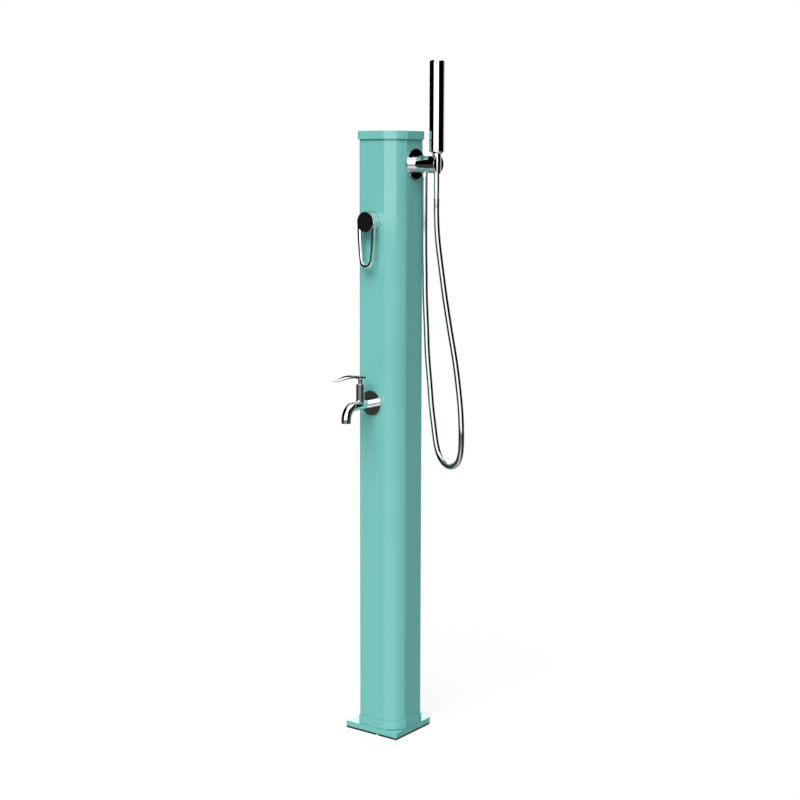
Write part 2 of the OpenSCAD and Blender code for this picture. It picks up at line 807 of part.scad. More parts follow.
module holder_elbow() {
    color(brass) difference() {
        union() {
            out_of_side(holder_z) translate([0, 0, -column_wall - elbow_l]) cylinder(h = elbow_l, d = elbow_d);
            translate([side_x - column_wall - elbow_socket_in, side_y, holder_z - elbow_socket_l])
                cylinder(h = elbow_socket_l, d = socket_boss_d);
        }
        out_of_side(holder_z) translate([0, 0, -column_wall - nipple_in])
            cylinder(h = nipple_in + cut, d = nipple_d + 2 * fit_gap);
        translate([side_x - column_wall - elbow_socket_in, side_y, holder_z - elbow_socket_l - cut])
            cylinder(h = pipe_seat + cut, d = pipe_d + 2 * run_gap);
    }
}

module holder_nipple() {
    color(brass) out_of_side(holder_z) translate([0, 0, -column_wall - nipple_in]) difference() {
        cylinder(h = nipple_in + column_wall + holder_rosette_t + nipple_out, d = nipple_d);
        translate([0, 0, -cut])
            cylinder(h = nipple_in + column_wall + holder_rosette_t + nipple_out + 2 * cut, d = nipple_bore);
    }
}

module holder_rosette() {
    color(steel) out_of_side(holder_z)
        rosette(holder_rosette_d, nipple_d + 2 * fit_gap, holder_rosette_t, rosette_bevel);
}

// The arm feeds the hose from a socket in its underside, and cradles the hose's cone in a tapered
// bore that is open through the arm's end
module holder_arm() {
    body = arm_l - holder_rosette_t;
    water_end = holder_rosette_t + nipple_out;
    color(steel) out_of_side(holder_z) difference() {
        union() {
            translate([0, 0, holder_rosette_t]) cylinder(h = body - arm_bevel, d = arm_d);
            translate([0, 0, arm_l - arm_bevel])
                cylinder(h = arm_bevel, d1 = arm_d, d2 = arm_d - 2 * arm_bevel);
        }
        translate([0, 0, holder_rosette_t - cut])
            cylinder(h = nipple_out + cut, d = nipple_d + 2 * fit_gap);
        translate([0, 0, water_end - cut]) cylinder(h = hose_out - water_end + cut, d = water_d);
        translate([0, 0, hose_out]) rotate([90, 0, 0]) cylinder(h = arm_d, d = water_d);
        translate([0, -arm_d / 2 + hose_shank_l, hose_out]) rotate([90, 0, 0])
            cylinder(h = arm_d, d = hose_shank_d + 2 * fit_gap);
        translate([0, -cone_below, cradle_out]) rotate([-90, 0, 0])
            cylinder(h = cone_l, d1 = cone_low_d + 2 * cone_gap, d2 = cone_high_d + 2 * cone_gap);
    }
}

module hose_nut() {
    color(steel) out_of_side(holder_z) translate([0, -arm_d / 2, hose_out]) {
        rotate([90, 0, 0]) cylinder(h = hose_nut_l, d = hose_nut_d);
        translate([0, hose_shank_l, 0]) rotate([90, 0, 0]) cylinder(h = hose_shank_l + cut, d = hose_shank_d);
    }
}

// Hose

function between(a, b, c, d, t) =
    0.5 * ((2 * b) + (c - a) * t + (2 * a - 5 * b + 4 * c - d) * t * t + (3 * b - a - 3 * c + d) * t * t * t);
function route_at(i) =
    i < 0 ? 2 * hose_route[0] - hose_route[1]
    : i >= len(hose_route) ? 2 * hose_route[len(hose_route) - 1] - hose_route[len(hose_route) - 2]
    : hose_route[i];
function unit(v) = v / norm(v);

hose_line = [
    for (i = [0 : len(hose_route) - 2], s = [0 : hose_steps - 1])
        between(route_at(i - 1), route_at(i), route_at(i + 1), route_at(i + 2), s / hose_steps),
    hose_route[len(hose_route) - 1]];
hose_rings = len(hose_line);
function hose_way(i) = unit(hose_line[min(i + 1, hose_rings - 1)] - hose_line[max(i - 1, 0)]);

module hose() {
    points = [
        for (i = [0 : hose_rings - 1])
            let (way = hose_way(i), right = unit(cross(hose_across, way)), up = cross(way, right))
            for (k = [0 : hose_sides - 1])
                let (a = k * 360 / hose_sides)
                hose_line[i] + hose_d / 2 * (cos(a) * right + sin(a) * up)];
    walls = [
        for (i = [0 : hose_rings - 2], k = [0 : hose_sides - 1])
            let (a = i * hose_sides + k, b = i * hose_sides + (k + 1) % hose_sides)
            each [[a, b + hose_sides, b], [a, a + hose_sides, b + hose_sides]]];
    last = (hose_rings - 1) * hose_sides;
    start = [for (k = [1 : hose_sides - 2]) [0, k, k + 1]];
    end = [for (k = [1 : hose_sides - 2]) [last, last + k + 1, last + k]];
    color(steel) polyhedron(points = points, faces = concat(walls, start, end));
}

module hose_cone() {
    color(steel) translate([handset_x, side_y, holder_z - cone_below]) difference() {
        cylinder(h = cone_l, d1 = cone_low_d, d2 = cone_high_d);
        translate([0, 0, cone_l - stub_l - stub_room])
            cylinder(h = stub_l + stub_room + cut, d = stub_d + 2 * stub_gap);
    }
}

module hose_ferrule() {
    top = holder_z - cone_below;
    color(steel) translate([handset_x, side_y, top - ferrule_l]) difference() {
        cylinder(h = ferrule_l, d = ferrule_d);
        for (i = [1 : ferrule_grooves]) translate([0, 0, i * ferrule_groove_pitch]) difference() {
            cylinder(h = ferrule_groove_w, d = ferrule_d + cut);
            translate([0, 0, -cut])
                cylinder(h = ferrule_groove_w + 2 * cut, d = ferrule_d - 2 * ferrule_groove);
        }
    }
}

// Hand shower

tube_base = handset_base + tail_h;
tube_l = handset_l - tail_h;
spray_z = handset_base + handset_l - spray_from_top;

module spray_place() {
    translate([handset_x, side_y, spray_z]) rotate([-90, 0, 0]) children();
}

module handset_tube() {
    color(steel) difference() {
        translate([handset_x, side_y, tube_base]) rotate_extrude() difference() {
            square([handset_d / 2, tube_l]);
            corner_sliver(handset_d / 2, tube_l, handset_top_r, 1, 1);
        }
        translate([handset_x, side_y, tube_base - cut])
            cylinder(h = tube_l - handset_top_t + cut, d = handset_d - 2 * handset_wall);
        spray_place() linear_extrude(handset_d) stadium(spray_w + 2 * spray_gap, spray_l + 2 * spray_gap);
    }
}

module handset_tail() {
    plug_d = handset_d - 2 * handset_wall - 2 * run_gap;
    color(steel) translate([handset_x, side_y, handset_base]) {
        cylinder(h = tail_h, d1 = tail_low_d, d2 = handset_d);
        translate([0, 0, tail_h / 2]) cylinder(h = tail_plug_l, d = plug_d);
        translate([0, 0, -stub_l]) cylinder(h = stub_l + tail_h, d = stub_d);
    }
}

module spray_plate() {
    color(grey_rubber) spray_place() {
        translate([0, 0, spray_face - spray_t]) linear_extrude(spray_t) stadium(spray_w, spray_l);
        for (x = [-1, 1], i = [0 : nozzle_rows - 1])
            translate([x * nozzle_x, (i - (nozzle_rows - 1) / 2 + x / 4) * nozzle_pitch, spray_face - nozzle_h])
                cylinder(h = 2 * nozzle_h, d = nozzle_d, $fn = small_fn);
    }
}

floor_pad();
foot_plate();
foot_socket();
socket_screws();
foot_collar();
column();
top_cap();
inlet_bracket();
cold_inlet();
hot_inlet();
cold_pipe();
cold_riser();
hot_riser();
mixed_pipe();
mixer_body();
mixer_cartridge();
cartridge_nut();
mixer_sleeve();
tap_tee();
tap_rosette();
tap_body();
tap_headwork();
tap_aerator();
holder_elbow();
holder_nipple();
holder_rosette();
holder_arm();
hose_nut();
hose();
mixer_handle();
mixer_spindle();
mixer_handle_screw();
tap_lever();
tap_spindle();
tap_lever_screw();
hose_cone();
hose_ferrule();
handset_tube();
handset_tail();
spray_plate();
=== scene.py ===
import json
from math import acos, asin, atan2, cos, degrees, pi, radians, sin, sqrt

import bmesh
import bpy
from mathutils import Matrix, Vector


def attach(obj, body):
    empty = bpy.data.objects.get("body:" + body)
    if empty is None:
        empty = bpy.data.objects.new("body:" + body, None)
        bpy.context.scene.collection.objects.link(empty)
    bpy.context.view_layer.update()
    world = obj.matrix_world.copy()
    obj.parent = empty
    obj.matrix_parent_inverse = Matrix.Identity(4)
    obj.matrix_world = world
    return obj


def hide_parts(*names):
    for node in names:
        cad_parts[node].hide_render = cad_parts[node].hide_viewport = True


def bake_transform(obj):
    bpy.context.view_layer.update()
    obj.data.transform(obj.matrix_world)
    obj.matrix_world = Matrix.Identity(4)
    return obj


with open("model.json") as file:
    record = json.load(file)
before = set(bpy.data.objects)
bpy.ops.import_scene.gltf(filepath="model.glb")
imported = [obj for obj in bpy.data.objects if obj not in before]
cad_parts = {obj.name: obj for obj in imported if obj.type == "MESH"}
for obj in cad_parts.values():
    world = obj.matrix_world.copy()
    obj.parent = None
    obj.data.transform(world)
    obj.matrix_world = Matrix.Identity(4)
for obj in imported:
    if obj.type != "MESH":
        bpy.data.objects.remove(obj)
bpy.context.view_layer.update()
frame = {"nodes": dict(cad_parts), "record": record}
nodes = frame["nodes"]
scene = bpy.context.scene
scene.view_settings.view_transform = "Standard"
MM = 0.001


# ---------------------------------------------------------------- camera

def make_camera():
    """The photograph's camera, as fitted to its lines: angles in degrees, lengths in m."""
    side, distance, height, yaw, pitch, roll = 36.817, 3.282497, 1.226183, -0.342, 8.535, 0.129
    focal_px, photo_px = 1553.646, 800
    az, el, ro = radians(side + yaw), radians(pitch), radians(roll)
    place = Vector((sin(radians(side)) * distance, -cos(radians(side)) * distance, height))
    fwd = Vector((-sin(az) * cos(el), cos(az) * cos(el), -sin(el)))
    right = Vector((cos(az), sin(az), 0))
    up = right.cross(fwd)
    r2, u2 = right * cos(ro) + up * sin(ro), -right * sin(ro) + up * cos(ro)
    data = bpy.data.cameras.new("camera")
    data.sensor_width = 36
    data.lens = focal_px / photo_px * data.sensor_width
    data.clip_start, data.clip_end = 0.05, 60
    cam = bpy.data.objects.new("camera", data)
    scene.collection.objects.link(cam)
    cam.matrix_world = Matrix(((r2.x, u2.x, -fwd.x, place.x), (r2.y, u2.y, -fwd.y, place.y),
                               (r2.z, u2.z, -fwd.z, place.z), (0, 0, 0, 1)))
    scene.camera = cam


make_camera()


# ---------------------------------------------------------------- mesh tools

def new_object(name, verts, faces, smooth=35):
    mesh = bpy.data.meshes.new(name)
    mesh.from_pydata([tuple(v) for v in verts], [], faces)
    mesh.update()
    obj = bpy.data.objects.new(name, mesh)
    scene.collection.objects.link(obj)
    shade(obj, smooth)
    return obj


def shade(obj, angle=35):
    """Merges doubled points, turns the faces outward and keeps the edges over angle degrees sharp."""
    bm = bmesh.new()
    bm.from_mesh(obj.data)
    bmesh.ops.remove_doubles(bm, verts=bm.verts, dist=1e-7)
    bmesh.ops.recalc_face_normals(bm, faces=bm.faces)
    bm.to_mesh(obj.data)
    bm.free()
    obj.data.shade_smooth()
    obj.data.set_sharp_from_angle(angle=radians(angle))


def rounded(profile, steps):
    """A profile of (r, z) or (r, z, fillet) corners, in mm, with each corner turned into an arc."""
    out = []
    n = len(profile)
    for i, p in enumerate(profile):
        r = p[2] if len(p) > 2 else 0
        here = Vector((p[0], p[1]))
        if i in (0, n - 1) or r <= 0:
            out.append(here)
            continue
        a, b = Vector(profile[i - 1][:2]) - here, Vector(profile[i + 1][:2]) - here
        la, lb = a.length, b.length
        a.normalize(); b.normalize()
        half = acos(max(-1, min(1, a.dot(b)))) / 2
        if half > pi / 2 - 0.02 or half < 0.02:
            out.append(here)
            continue
        cut = min(r / (sin(half) / cos(half)), la * 0.49, lb * 0.49)
        r = cut * sin(half) / cos(half)
        centre = here + (a + b).normalized() * (r / sin(half))
        s, e = here + a * cut - centre, here + b * cut - centre
        turn = s.angle_signed(e)
        for k in range(steps + 1):
            t = -turn * k / steps
            out.append(centre + Vector((s.x * cos(t) - s.y * sin(t), s.x * sin(t) + s.y * cos(t))))
    return out


def lathe(name, profile, place, seg=128, steps=5):
    """Turns a profile (mm) about its own z axis and sets it at place (m)."""
    pts = rounded(profile, steps)
    verts, faces, rows = [], [], []
    for p in pts:
        if abs(p.x) < 1e-6:
            rows.append([len(verts)] * seg)
            verts.append(Vector((0, 0, p.y)))
        else:
            rows.append(list(range(len(verts), len(verts) + seg)))
            verts += [Vector((p.x * cos(2 * pi * k / seg), p.x * sin(2 * pi * k / seg), p.y)) for k in range(seg)]
    closed = (pts[0] - pts[-1]).length < 1e-6
    last = len(rows) - 1
    for i in range(last):
        a, b = rows[i], rows[0] if closed and i == last - 1 else rows[i + 1]
        for k in range(seg):
            j = (k + 1) % seg
            quad = [a[k], a[j], b[j], b[k]]
            face = [v for n, v in enumerate(quad) if v not in quad[:n]]
            if len(face) > 2:
                faces.append(face)
    verts = [place @ (v * MM) for v in verts]
    return new_object(name, verts, faces)


def peg(r, z0, z1, place, seg):
    """A plain cylinder (mm), to cut a hole with."""
    return lathe("peg", [(0, z0), (r, z0), (r, z1), (0, z1)], place, seg)


def loft(name, rings, cyclic=False, smooth=35):
    """Joins rings of the same number of points (m) by quads, and closes both ends or joins them."""
    n = len(rings[0])
    verts = [v for ring in rings for v in ring]
    faces = []
    m = len(rings)
    for i in range(m if cyclic else m - 1):
        a, b = i * n, ((i + 1) % m) * n
        for k in range(n):
            j = (k + 1) % n
            faces.append([a + k, a + j, b + j, b + k])
    if not cyclic:
        faces.append(list(range(n))[::-1])
        faces.append(list(range((m - 1) * n, m * n)))
    return new_object(name, verts, faces, smooth)


def baked(obj):
    """Applies the object's modifiers to its mesh."""
    bpy.context.view_layer.update()
    dg = bpy.context.evaluated_depsgraph_get()
    mesh = bpy.data.meshes.new_from_object(obj.evaluated_get(dg))
    obj.modifiers.clear()
    old = obj.data
    obj.data = mesh
    bpy.data.meshes.remove(old)


def boolean(obj, others, mode="DIFFERENCE"):
    """Cuts or joins the others with the object, and removes them."""
    for other in others:
        m = obj.modifiers.new("cut", "BOOLEAN")
        m.operation, m.solver, m.object = mode, "EXACT", other
        baked(obj)
        bpy.data.objects.remove(other)


def softened(obj, width, angle, segments):
    """Rounds the object's edges over angle degrees by width (mm)."""
    bm = bmesh.new()
    bm.from_mesh(obj.data)
    bmesh.ops.remove_doubles(bm, verts=bm.verts, dist=2e-6)
    bmesh.ops.dissolve_degenerate(bm, edges=bm.edges, dist=1e-6)
    bm.to_mesh(obj.data)
    bm.free()
    m = obj.modifiers.new("edge", "BEVEL")
    m.width, m.segments, m.limit_method, m.angle_limit = width * MM, segments, "ANGLE", radians(angle)
    m.use_clamp_overlap = True
    baked(obj)
    shade(obj, 40)


# ---------------------------------------------------------------- the part's own sizes, in mm

POST_H, DEPTH, WALL, EDGE_R = 1300, 94, 2.5, 6
# the large corner is an arc that meets its two walls at a faint crease
LARGE_X, LARGE_Y, LARGE_R = 5.3, -2.3, 46
SIDE_X, FRONT_Y = 50, -47
FRONT_X, SIDE_Y = -15, 15
MIXER_Z, TAP_Z, HOLDER_Z = 1113, 732, 1232
BASE_TOP = 16
SCREW_X, SCREW_Z = 24, 60
NUT_X, CONE_X = 76, 106
Z_TO_BACK, Z_TO_FRONT = Matrix.Rotation(-pi / 2, 4, "X"), Matrix.Rotation(pi / 2, 4, "X")


def upright(x, y, z):
    return Matrix.Translation((x * MM, y * MM, z * MM))


def out_of_front(z, out=0.0):
    """A place whose z axis points out of the front wall, and whose y axis points up."""
    return upright(FRONT_X, FRONT_Y - out, z) @ Z_TO_FRONT


def out_of_side(z):
    """A place whose z axis points out of the side wall, and whose y axis points up."""
    return upright(SIDE_X, SIDE_Y, z) @ Matrix(((0, 0, 1, 0), (1, 0, 0, 0), (0, 1, 0, 0), (0, 0, 0, 1)))


def screw_places():
    """Where the two socket screws sit on the back wall, pointing out of it."""
    return [upright(x, DEPTH / 2, SCREW_Z) @ Z_TO_BACK for x in (-SCREW_X, SCREW_X)]


def column_ring(out, z):
    """The column's outline grown by out (mm) at height z, counter-clockwise."""
    x, y = SIDE_X + out, DEPTH / 2 + out
    small, large = max(EDGE_R + out, 0.4), LARGE_R + out
    crease = degrees(acos((y + LARGE_Y) / large))
    corners = [(LARGE_X, LARGE_Y, large, crease - 90, 90 - 2 * crease, 44)]
    corners += [(sx * (x - small), sy * (y - small), small, start, 90, 10)
                for sx, sy, start in ((1, 1, 0), (-1, 1, 90), (-1, -1, 180))]
    ring = []
    for cx, cy, r, start, turn, n in corners:
        for k in range(n + 1):
            t = radians(start + turn * k / n)
            ring.append(Vector(((cx + r * cos(t)) * MM, (cy + r * sin(t)) * MM, z * MM)))
    return ring


def foot_ring(inset, z):
    """The foot plate's outline drawn in by inset (mm) at height z: sharp at the front and round at the back."""
    left, right, low, high = -84.6 + inset, 52.6 - inset, -49.6 + inset, 99.6 - inset
    n = 18
    ring = []
    for cx, cy, r, start, sx, sy in ((right, low, 2, -90, 1, -1), (right, high, 34, 0, 1, 1),
                                     (left, high, 34, 90, -1, 1), (left, low, 2, 180, -1, -1)):
        r = max(r - inset, 0.3)
        for k in range(n + 1):
            t = radians(start + 90 * k / n)
            ring.append(Vector(((cx - sx * r + r * cos(t)) * MM, (cy - sy * r + r * sin(t)) * MM, z * MM)))
    return ring


def edge_rings(ring_at, z0, z1, b_low, b_high, steps=4):
    """Rings up a wall whose lower and upper edges are rounded by b_low and b_high."""
    rings = []
    for k in range(steps + 1):
        t = pi / 2 * k / steps
        rings.append(ring_at(b_low * (1 - sin(t)), z0 + b_low * (1 - cos(t))))
    for k in range(steps + 1):
        t = pi / 2 * k / steps
        rings.append(ring_at(b_high * (1 - cos(t)), z1 - b_high * (1 - sin(t))))
    return rings


# ---------------------------------------------------------------- hose

ROUTE = [
    (76, 15, 1205), (76, 15, 1180), (76, 15, 1150), (76, 15, 1115), (76, 15, 1080),
    (77, 14, 1045), (79, 13, 1010), (80, 12, 975), (82, 11, 940), (85, 10, 905),
    (88, 8, 870), (92, 5, 835), (98, 2, 800), (104, -1, 765), (110, -5, 730),
    (119, -10, 697), (125, -13, 672), (131, -16, 651), (141, -20, 631), (156, -26, 619),
    (175, -34, 614), (194, -42, 619), (209, -48, 631), (217, -52, 650), (219, -53, 673),
    (218, -52, 700), (215, -50, 730), (209, -46, 760), (202, -42, 790), (193, -36, 820),
    (183, -30, 850), (171, -24, 885), (159, -17, 920), (147, -10, 955), (136, -3, 990),
    (126, 3, 1025), (116, 9, 1060), (109, 13, 1095), (106, 15, 1130), (106, 15, 1146),
    (106, 15, 1161)]


def hose_line():
    """A smooth line (mm) through the route."""
    steps = 10
    p = [Vector(q) for q in ROUTE]
    q = [2 * p[0] - p[1]] + p + [2 * p[-1] - p[-2]]
    line = []
    for i in range(1, len(q) - 2):
        a, b, c, d = q[i - 1:i + 3]
        for k in range(steps):
            t = k / steps
            line.append(0.5 * (2 * b + (c - a) * t + (2 * a - 5 * b + 4 * c - d) * t * t
                               + (3 * b - a - 3 * c + d) * t ** 3))
    line.append(p[-1])
    # eased, so that the bends run on without kinks
    for _ in range(40):
        line = [line[0], line[1]] + [(line[i - 1] + 2 * line[i] + line[i + 1]) / 4
                                     for i in range(2, len(line) - 2)] + [line[-2], line[-1]]
    return line


def sweep(name, line, radius):
    """A rod along line (mm), with uv along and round it. No bit of the line runs along across."""
    sides, across = 32, Vector((0.51, 0.86, 0))
    verts, faces, uvs = [], [], []
    run, m = 0.0, len(line)
    for i, p in enumerate(line):
        way = (line[min(i + 1, m - 1)] - line[max(i - 1, 0)]).normalized()
        right = across.cross(way).normalized()
        up = way.cross(right)
        run += (p - line[i - 1]).length if i else 0
        for k in range(sides):
            t = 2 * pi * k / sides
            verts.append((p + radius * (cos(t) * right + sin(t) * up)) * MM)
            uvs.append((run, k / sides))
    for i in range(m - 1):
        for k in range(sides):
            j = (k + 1) % sides
            faces.append([i * sides + k, i * sides + j, (i + 1) * sides + j, (i + 1) * sides + k])
    faces.append(list(range(sides))[::-1])
    faces.append(list(range((m - 1) * sides, m * sides)))
    mesh = bpy.data.meshes.new(name)
    mesh.from_pydata([tuple(v) for v in verts], [], faces)
    layer = mesh.uv_layers.new(name="run")
    for poly in mesh.polygons:
        for li in poly.loop_indices:
            vi = mesh.loops[li].vertex_index
            u, v = uvs[vi]
            if len(poly.vertices) == 4 and v == 0 and any(uvs[w][1] > 0.9 for w in poly.vertices):
                v = 1.0
            layer.data[li].uv = (u * MM, v)
    obj = bpy.data.objects.new(name, mesh)
    scene.collection.objects.link(obj)
    mesh.shade_smooth()
    mesh.set_sharp_from_angle(angle=radians(50))
    return obj


line = hose_line()
hose = sweep("shower_hose", line, 6.0)
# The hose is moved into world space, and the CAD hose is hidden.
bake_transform(hose)
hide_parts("hose")


# ---------------------------------------------------------------- materials

def material(name):
    m = bpy.data.materials.new(name)
    m.use_nodes = True
    t = m.node_tree
    return m, t, t.nodes["Principled BSDF"]


def node(t, kind, **values):
    n = t.nodes.new(kind)
    for key, value in values.items():
        if key in n.inputs:
            n.inputs[key].default_value = value
        else:
            setattr(n, key, value)
    return n


def noise(t, scale, detail=2.0, rough=0.5, coords=None):
    n = node(t, "ShaderNodeTexNoise", Scale=scale, Detail=detail, Roughness=rough)
    t.links.new(coords or node(t, "ShaderNodeTexCoord").outputs["Object"], n.inputs["Vector"])
    return n.outputs["Fac"]


def ramp(t, value, low, high, out_low, out_high):
    n = node(t, "ShaderNodeMapRange")
    n.inputs["From Min"].default_value, n.inputs["From Max"].default_value = low, high
    n.inputs["To Min"].default_value, n.inputs["To Max"].default_value = out_low, out_high
    t.links.new(value, n.inputs["Value"])
    return n.outputs["Result"]


def calc(t, op, a, b):
    n = node(t, "ShaderNodeMath", operation=op)
    for i, v in enumerate((a, b)):
        if isinstance(v, (int, float)):
            n.inputs[i].default_value = v
        else:
            t.links.new(v, n.inputs[i])
    return n.outputs[0]


def tint(t, value, dark, light):
    n = node(t, "ShaderNodeMix", data_type="RGBA")
    t.links.new(value, n.inputs["Factor"])
    n.inputs["A"].default_value = (*dark, 1)
    n.inputs["B"].default_value = (*light, 1)
    return n.outputs["Result"]


def bump(t, b, height, distance, strength=1.0):
    n = node(t, "ShaderNodeBump", Distance=distance, Strength=strength)
    t.links.new(height, n.inputs["Height"])
    t.links.new(n.outputs["Normal"], b.inputs["Normal"])


def lin(*srgb):
    """A colour picked as 0-255 values, in linear light."""
    return tuple((c / 255 / 12.92) if c / 255 <= 0.04045 else ((c / 255 + 0.055) / 1.055) ** 2.4 for c in srgb)


def paint():
    """Gloss powder coat: a very fine orange peel, a colour that hardly varies, and painted shade in the tight inner
    corners.
    """
    m, t, b = material("teal_powder_coat")
    broad = noise(t, 9, 3)
    clean = tint(t, ramp(t, broad, 0.3, 0.7, 0, 1), lin(122, 199, 192), lin(125, 201, 194))
    # painted shade: the colour darkens where ambient occlusion finds tight inner corners and creases
    crease_occlusion = node(t, "ShaderNodeAmbientOcclusion", samples=8, Distance=0.006)
    painted_crease_shade = node(t, "ShaderNodeMix", data_type="RGBA", blend_type="MULTIPLY")
    t.links.new(ramp(t, crease_occlusion.outputs["AO"], 0.35, 0.85, 0.75, 0), painted_crease_shade.inputs["Factor"])
    t.links.new(clean, painted_crease_shade.inputs["A"])
    painted_crease_shade.inputs["B"].default_value = (0.3, 0.36, 0.36, 1)
    t.links.new(painted_crease_shade.outputs["Result"], b.inputs["Base Color"])
    fine = noise(t, 420, 2)
    t.links.new(ramp(t, noise(t, 35, 4, 0.6), 0.3, 0.7, 0.04, 0.07), b.inputs["Roughness"])
    b.inputs["IOR"].default_value = 1.64
    bump(t, b, fine, 0.00001, 0.3)
    return m


def chrome(name="polished_chrome", rough=0.0, colour=(0.9, 0.905, 0.91)):
    """Chrome plate, with faint smudges in its gloss."""
    m, t, b = material(name)
    b.inputs["Metallic"].default_value = 1
    smudge = noise(t, 60, 5, 0.6)
    t.links.new(tint(t, smudge, tuple(0.97 * c for c in colour), colour), b.inputs["Base Color"])
    t.links.new(ramp(t, smudge, 0.35, 0.75, rough, rough + 0.02), b.inputs["Roughness"])
    return m


def chrome_painted_dark_sides():
    """Chrome on a stamped strap: its flat faces and the hub's end are polished, and its side walls get a dark base
    colour, a painted reflection that stands in for the dark surroundings they mirror.
    """
    m, t, b = material("chrome_painted_dark_sides")
    b.inputs["Metallic"].default_value = 1
    smudge = noise(t, 60, 5, 0.6)
    facing = node(t, "ShaderNodeSeparateXYZ")
    t.links.new(node(t, "ShaderNodeNewGeometry").outputs["Normal"], facing.inputs[0])
    place = node(t, "ShaderNodeSeparateXYZ")
    t.links.new(node(t, "ShaderNodeTexCoord").outputs["Object"], place.inputs[0])
    # painted reflection: faces turned sideways, away from the hub, take the dark colour below
    flat = calc(t, "MAXIMUM", ramp(t, calc(t, "ABSOLUTE", facing.outputs["Z"], 0.0), 0.45, 0.6, 0, 1),
                ramp(t, place.outputs["Y"], -0.1, -0.096, 0, 1))
    polished = tint(t, smudge, (0.87, 0.875, 0.88), (0.9, 0.905, 0.91))
    n = node(t, "ShaderNodeMix", data_type="RGBA")
    n.inputs["A"].default_value = (0.16, 0.165, 0.17, 1)
    t.links.new(flat, n.inputs["Factor"])
    t.links.new(polished, n.inputs["B"])
    t.links.new(n.outputs["Result"], b.inputs["Base Color"])
    t.links.new(ramp(t, flat, 0, 1, 0.14, 0.02), b.inputs["Roughness"])
    return m


def metal(name, dark, light, rough0, rough1, scale=300, stretch=(1, 1, 1), depth=0.00002):
    """Machined or drawn metal with fine tool marks along one direction."""
    m, t, b = material(name)
    b.inputs["Metallic"].default_value = 1
    coords = node(t, "ShaderNodeMapping", Scale=stretch)
    t.links.new(node(t, "ShaderNodeTexCoord").outputs["Object"], coords.inputs["Vector"])
    marks = noise(t, scale, 4, 0.6, coords.outputs["Vector"])
    t.links.new(tint(t, marks, dark, light), b.inputs["Base Color"])
    t.links.new(ramp(t, marks, 0.3, 0.7, rough0, rough1), b.inputs["Roughness"])
    bump(t, b, marks, depth, 0.4)
    return m


def plain(name, dark, light, rough0, rough1, scale, depth):
    """Rubber or plastic with a fine grain."""
    m, t, b = material(name)
    grain = noise(t, scale, 5, 0.6)
    t.links.new(tint(t, grain, dark, light), b.inputs["Base Color"])
    t.links.new(ramp(t, grain, 0.3, 0.7, rough0, rough1), b.inputs["Roughness"])
    bump(t, b, grain, depth, 0.5)
    return m


def hose_skin():
    """A smooth metallised hose: a faint winding shows through its clear cover."""
    m, t, b = material("silver_hose")
    uv = node(t, "ShaderNodeUVMap", uv_map="run")
    parts = node(t, "ShaderNodeSeparateXYZ")
    t.links.new(uv.outputs["UV"], parts.inputs[0])
    pitch = 0.0042
    turns = calc(t, "ADD", calc(t, "MULTIPLY", parts.outputs["X"], 2 * pi / pitch),
                 calc(t, "MULTIPLY", parts.outputs["Y"], 2 * pi))
    wave = calc(t, "SINE", turns, 0.0)
    t.links.new(tint(t, ramp(t, wave, -1, 1, 0, 1), (0.5, 0.505, 0.51), (0.58, 0.585, 0.59)),
                b.inputs["Base Color"])
    b.inputs["Metallic"].default_value = 1
    t.links.new(ramp(t, noise(t, 80, 3), 0.3, 0.7, 0.05, 0.09), b.inputs["Roughness"])
    b.inputs["Coat Weight"].default_value = 0.15
    b.inputs["Coat Roughness"].default_value = 0.03
    bump(t, b, wave, 0.00001, 0.1)
    return m


PAINT = paint()
CHROME = chrome()
# chrome whose side walls carry a painted dark reflection
CHROME_PAINTED_SIDES = chrome_painted_dark_sides()
CHROME_SATIN = chrome("satin_chrome", 0.16, (0.72, 0.725, 0.73))
STEEL = metal("stainless_steel", (0.5, 0.5, 0.51), (0.64, 0.64, 0.65), 0.24, 0.4, 260, (1, 1, 6))
BRASS = metal("machined_brass", (0.62, 0.44, 0.18), (0.8, 0.6, 0.3), 0.2, 0.36, 320, (1, 1, 5))
COPPER = metal("copper_tube", (0.6, 0.26, 0.15), (0.78, 0.4, 0.27), 0.18, 0.34, 200, (1, 1, 0.4))
RUBBER = plain("black_rubber", (0.008, 0.02, 0.02), (0.02, 0.036, 0.036), 0.5, 0.7, 500, 0.00006)
WHITE = plain("white_plastic", (0.72, 0.72, 0.69), (0.82, 0.82, 0.8), 0.35, 0.5, 300, 0.00002)
NOZZLE = plain("grey_silicone", (0.09, 0.095, 0.1), (0.14, 0.145, 0.15), 0.42, 0.6, 500, 0.00003)
HOSE = hose_skin()
# every CAD node that stays in view wears its slot's material
SLOTS = {"teal_paint": PAINT, "chrome": CHROME, "steel": STEEL, "brass": BRASS, "copper": COPPER,
         "rubber": RUBBER, "white_plastic": WHITE, "grey_rubber": NOZZLE, "hose_cover": HOSE}
for entry in frame["record"]["subparts"]:
    cad = nodes[entry["node"]]
    cad.data.materials.clear()
    cad.data.materials.append(SLOTS[entry["material_slot"]])


def finish_piece(obj, mat, body, replaced):
    # the large faces keep their own direction, and only the rounded edges turn
    m = obj.modifiers.new("face_weights", "WEIGHTED_NORMAL")
    m.keep_sharp, m.weight = True, 100
    obj.data.materials.clear()
    obj.data.materials.append(mat)
    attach(obj, body)
    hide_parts(*replaced)


hose.data.materials.append(HOSE)


# ---------------------------------------------------------------- column, cap and foot

def make_column():
    low, high = BASE_TOP, POST_H - 4
    rings = edge_rings(lambda i, z: column_ring(-i, z), low, high, 0.5, 0.5, 3)
    rings += edge_rings(lambda i, z: column_ring(-WALL + i, z), low, high, 0.3, 0.3, 2)[::-1]
    body = loft("column_tube", rings, cyclic=True)
    holes = [peg(r, -6, 6, place, 64)
             for r, place in ((18.5, out_of_front(MIXER_Z)), (9, out_of_front(TAP_Z)), (11, out_of_side(HOLDER_Z)))]
    holes += [peg(2.7, -6, 6, place, 32) for place in screw_places()]
    boolean(body, holes)
    shade(body, 40)
    finish_piece(body, PAINT, "post", ["column"])


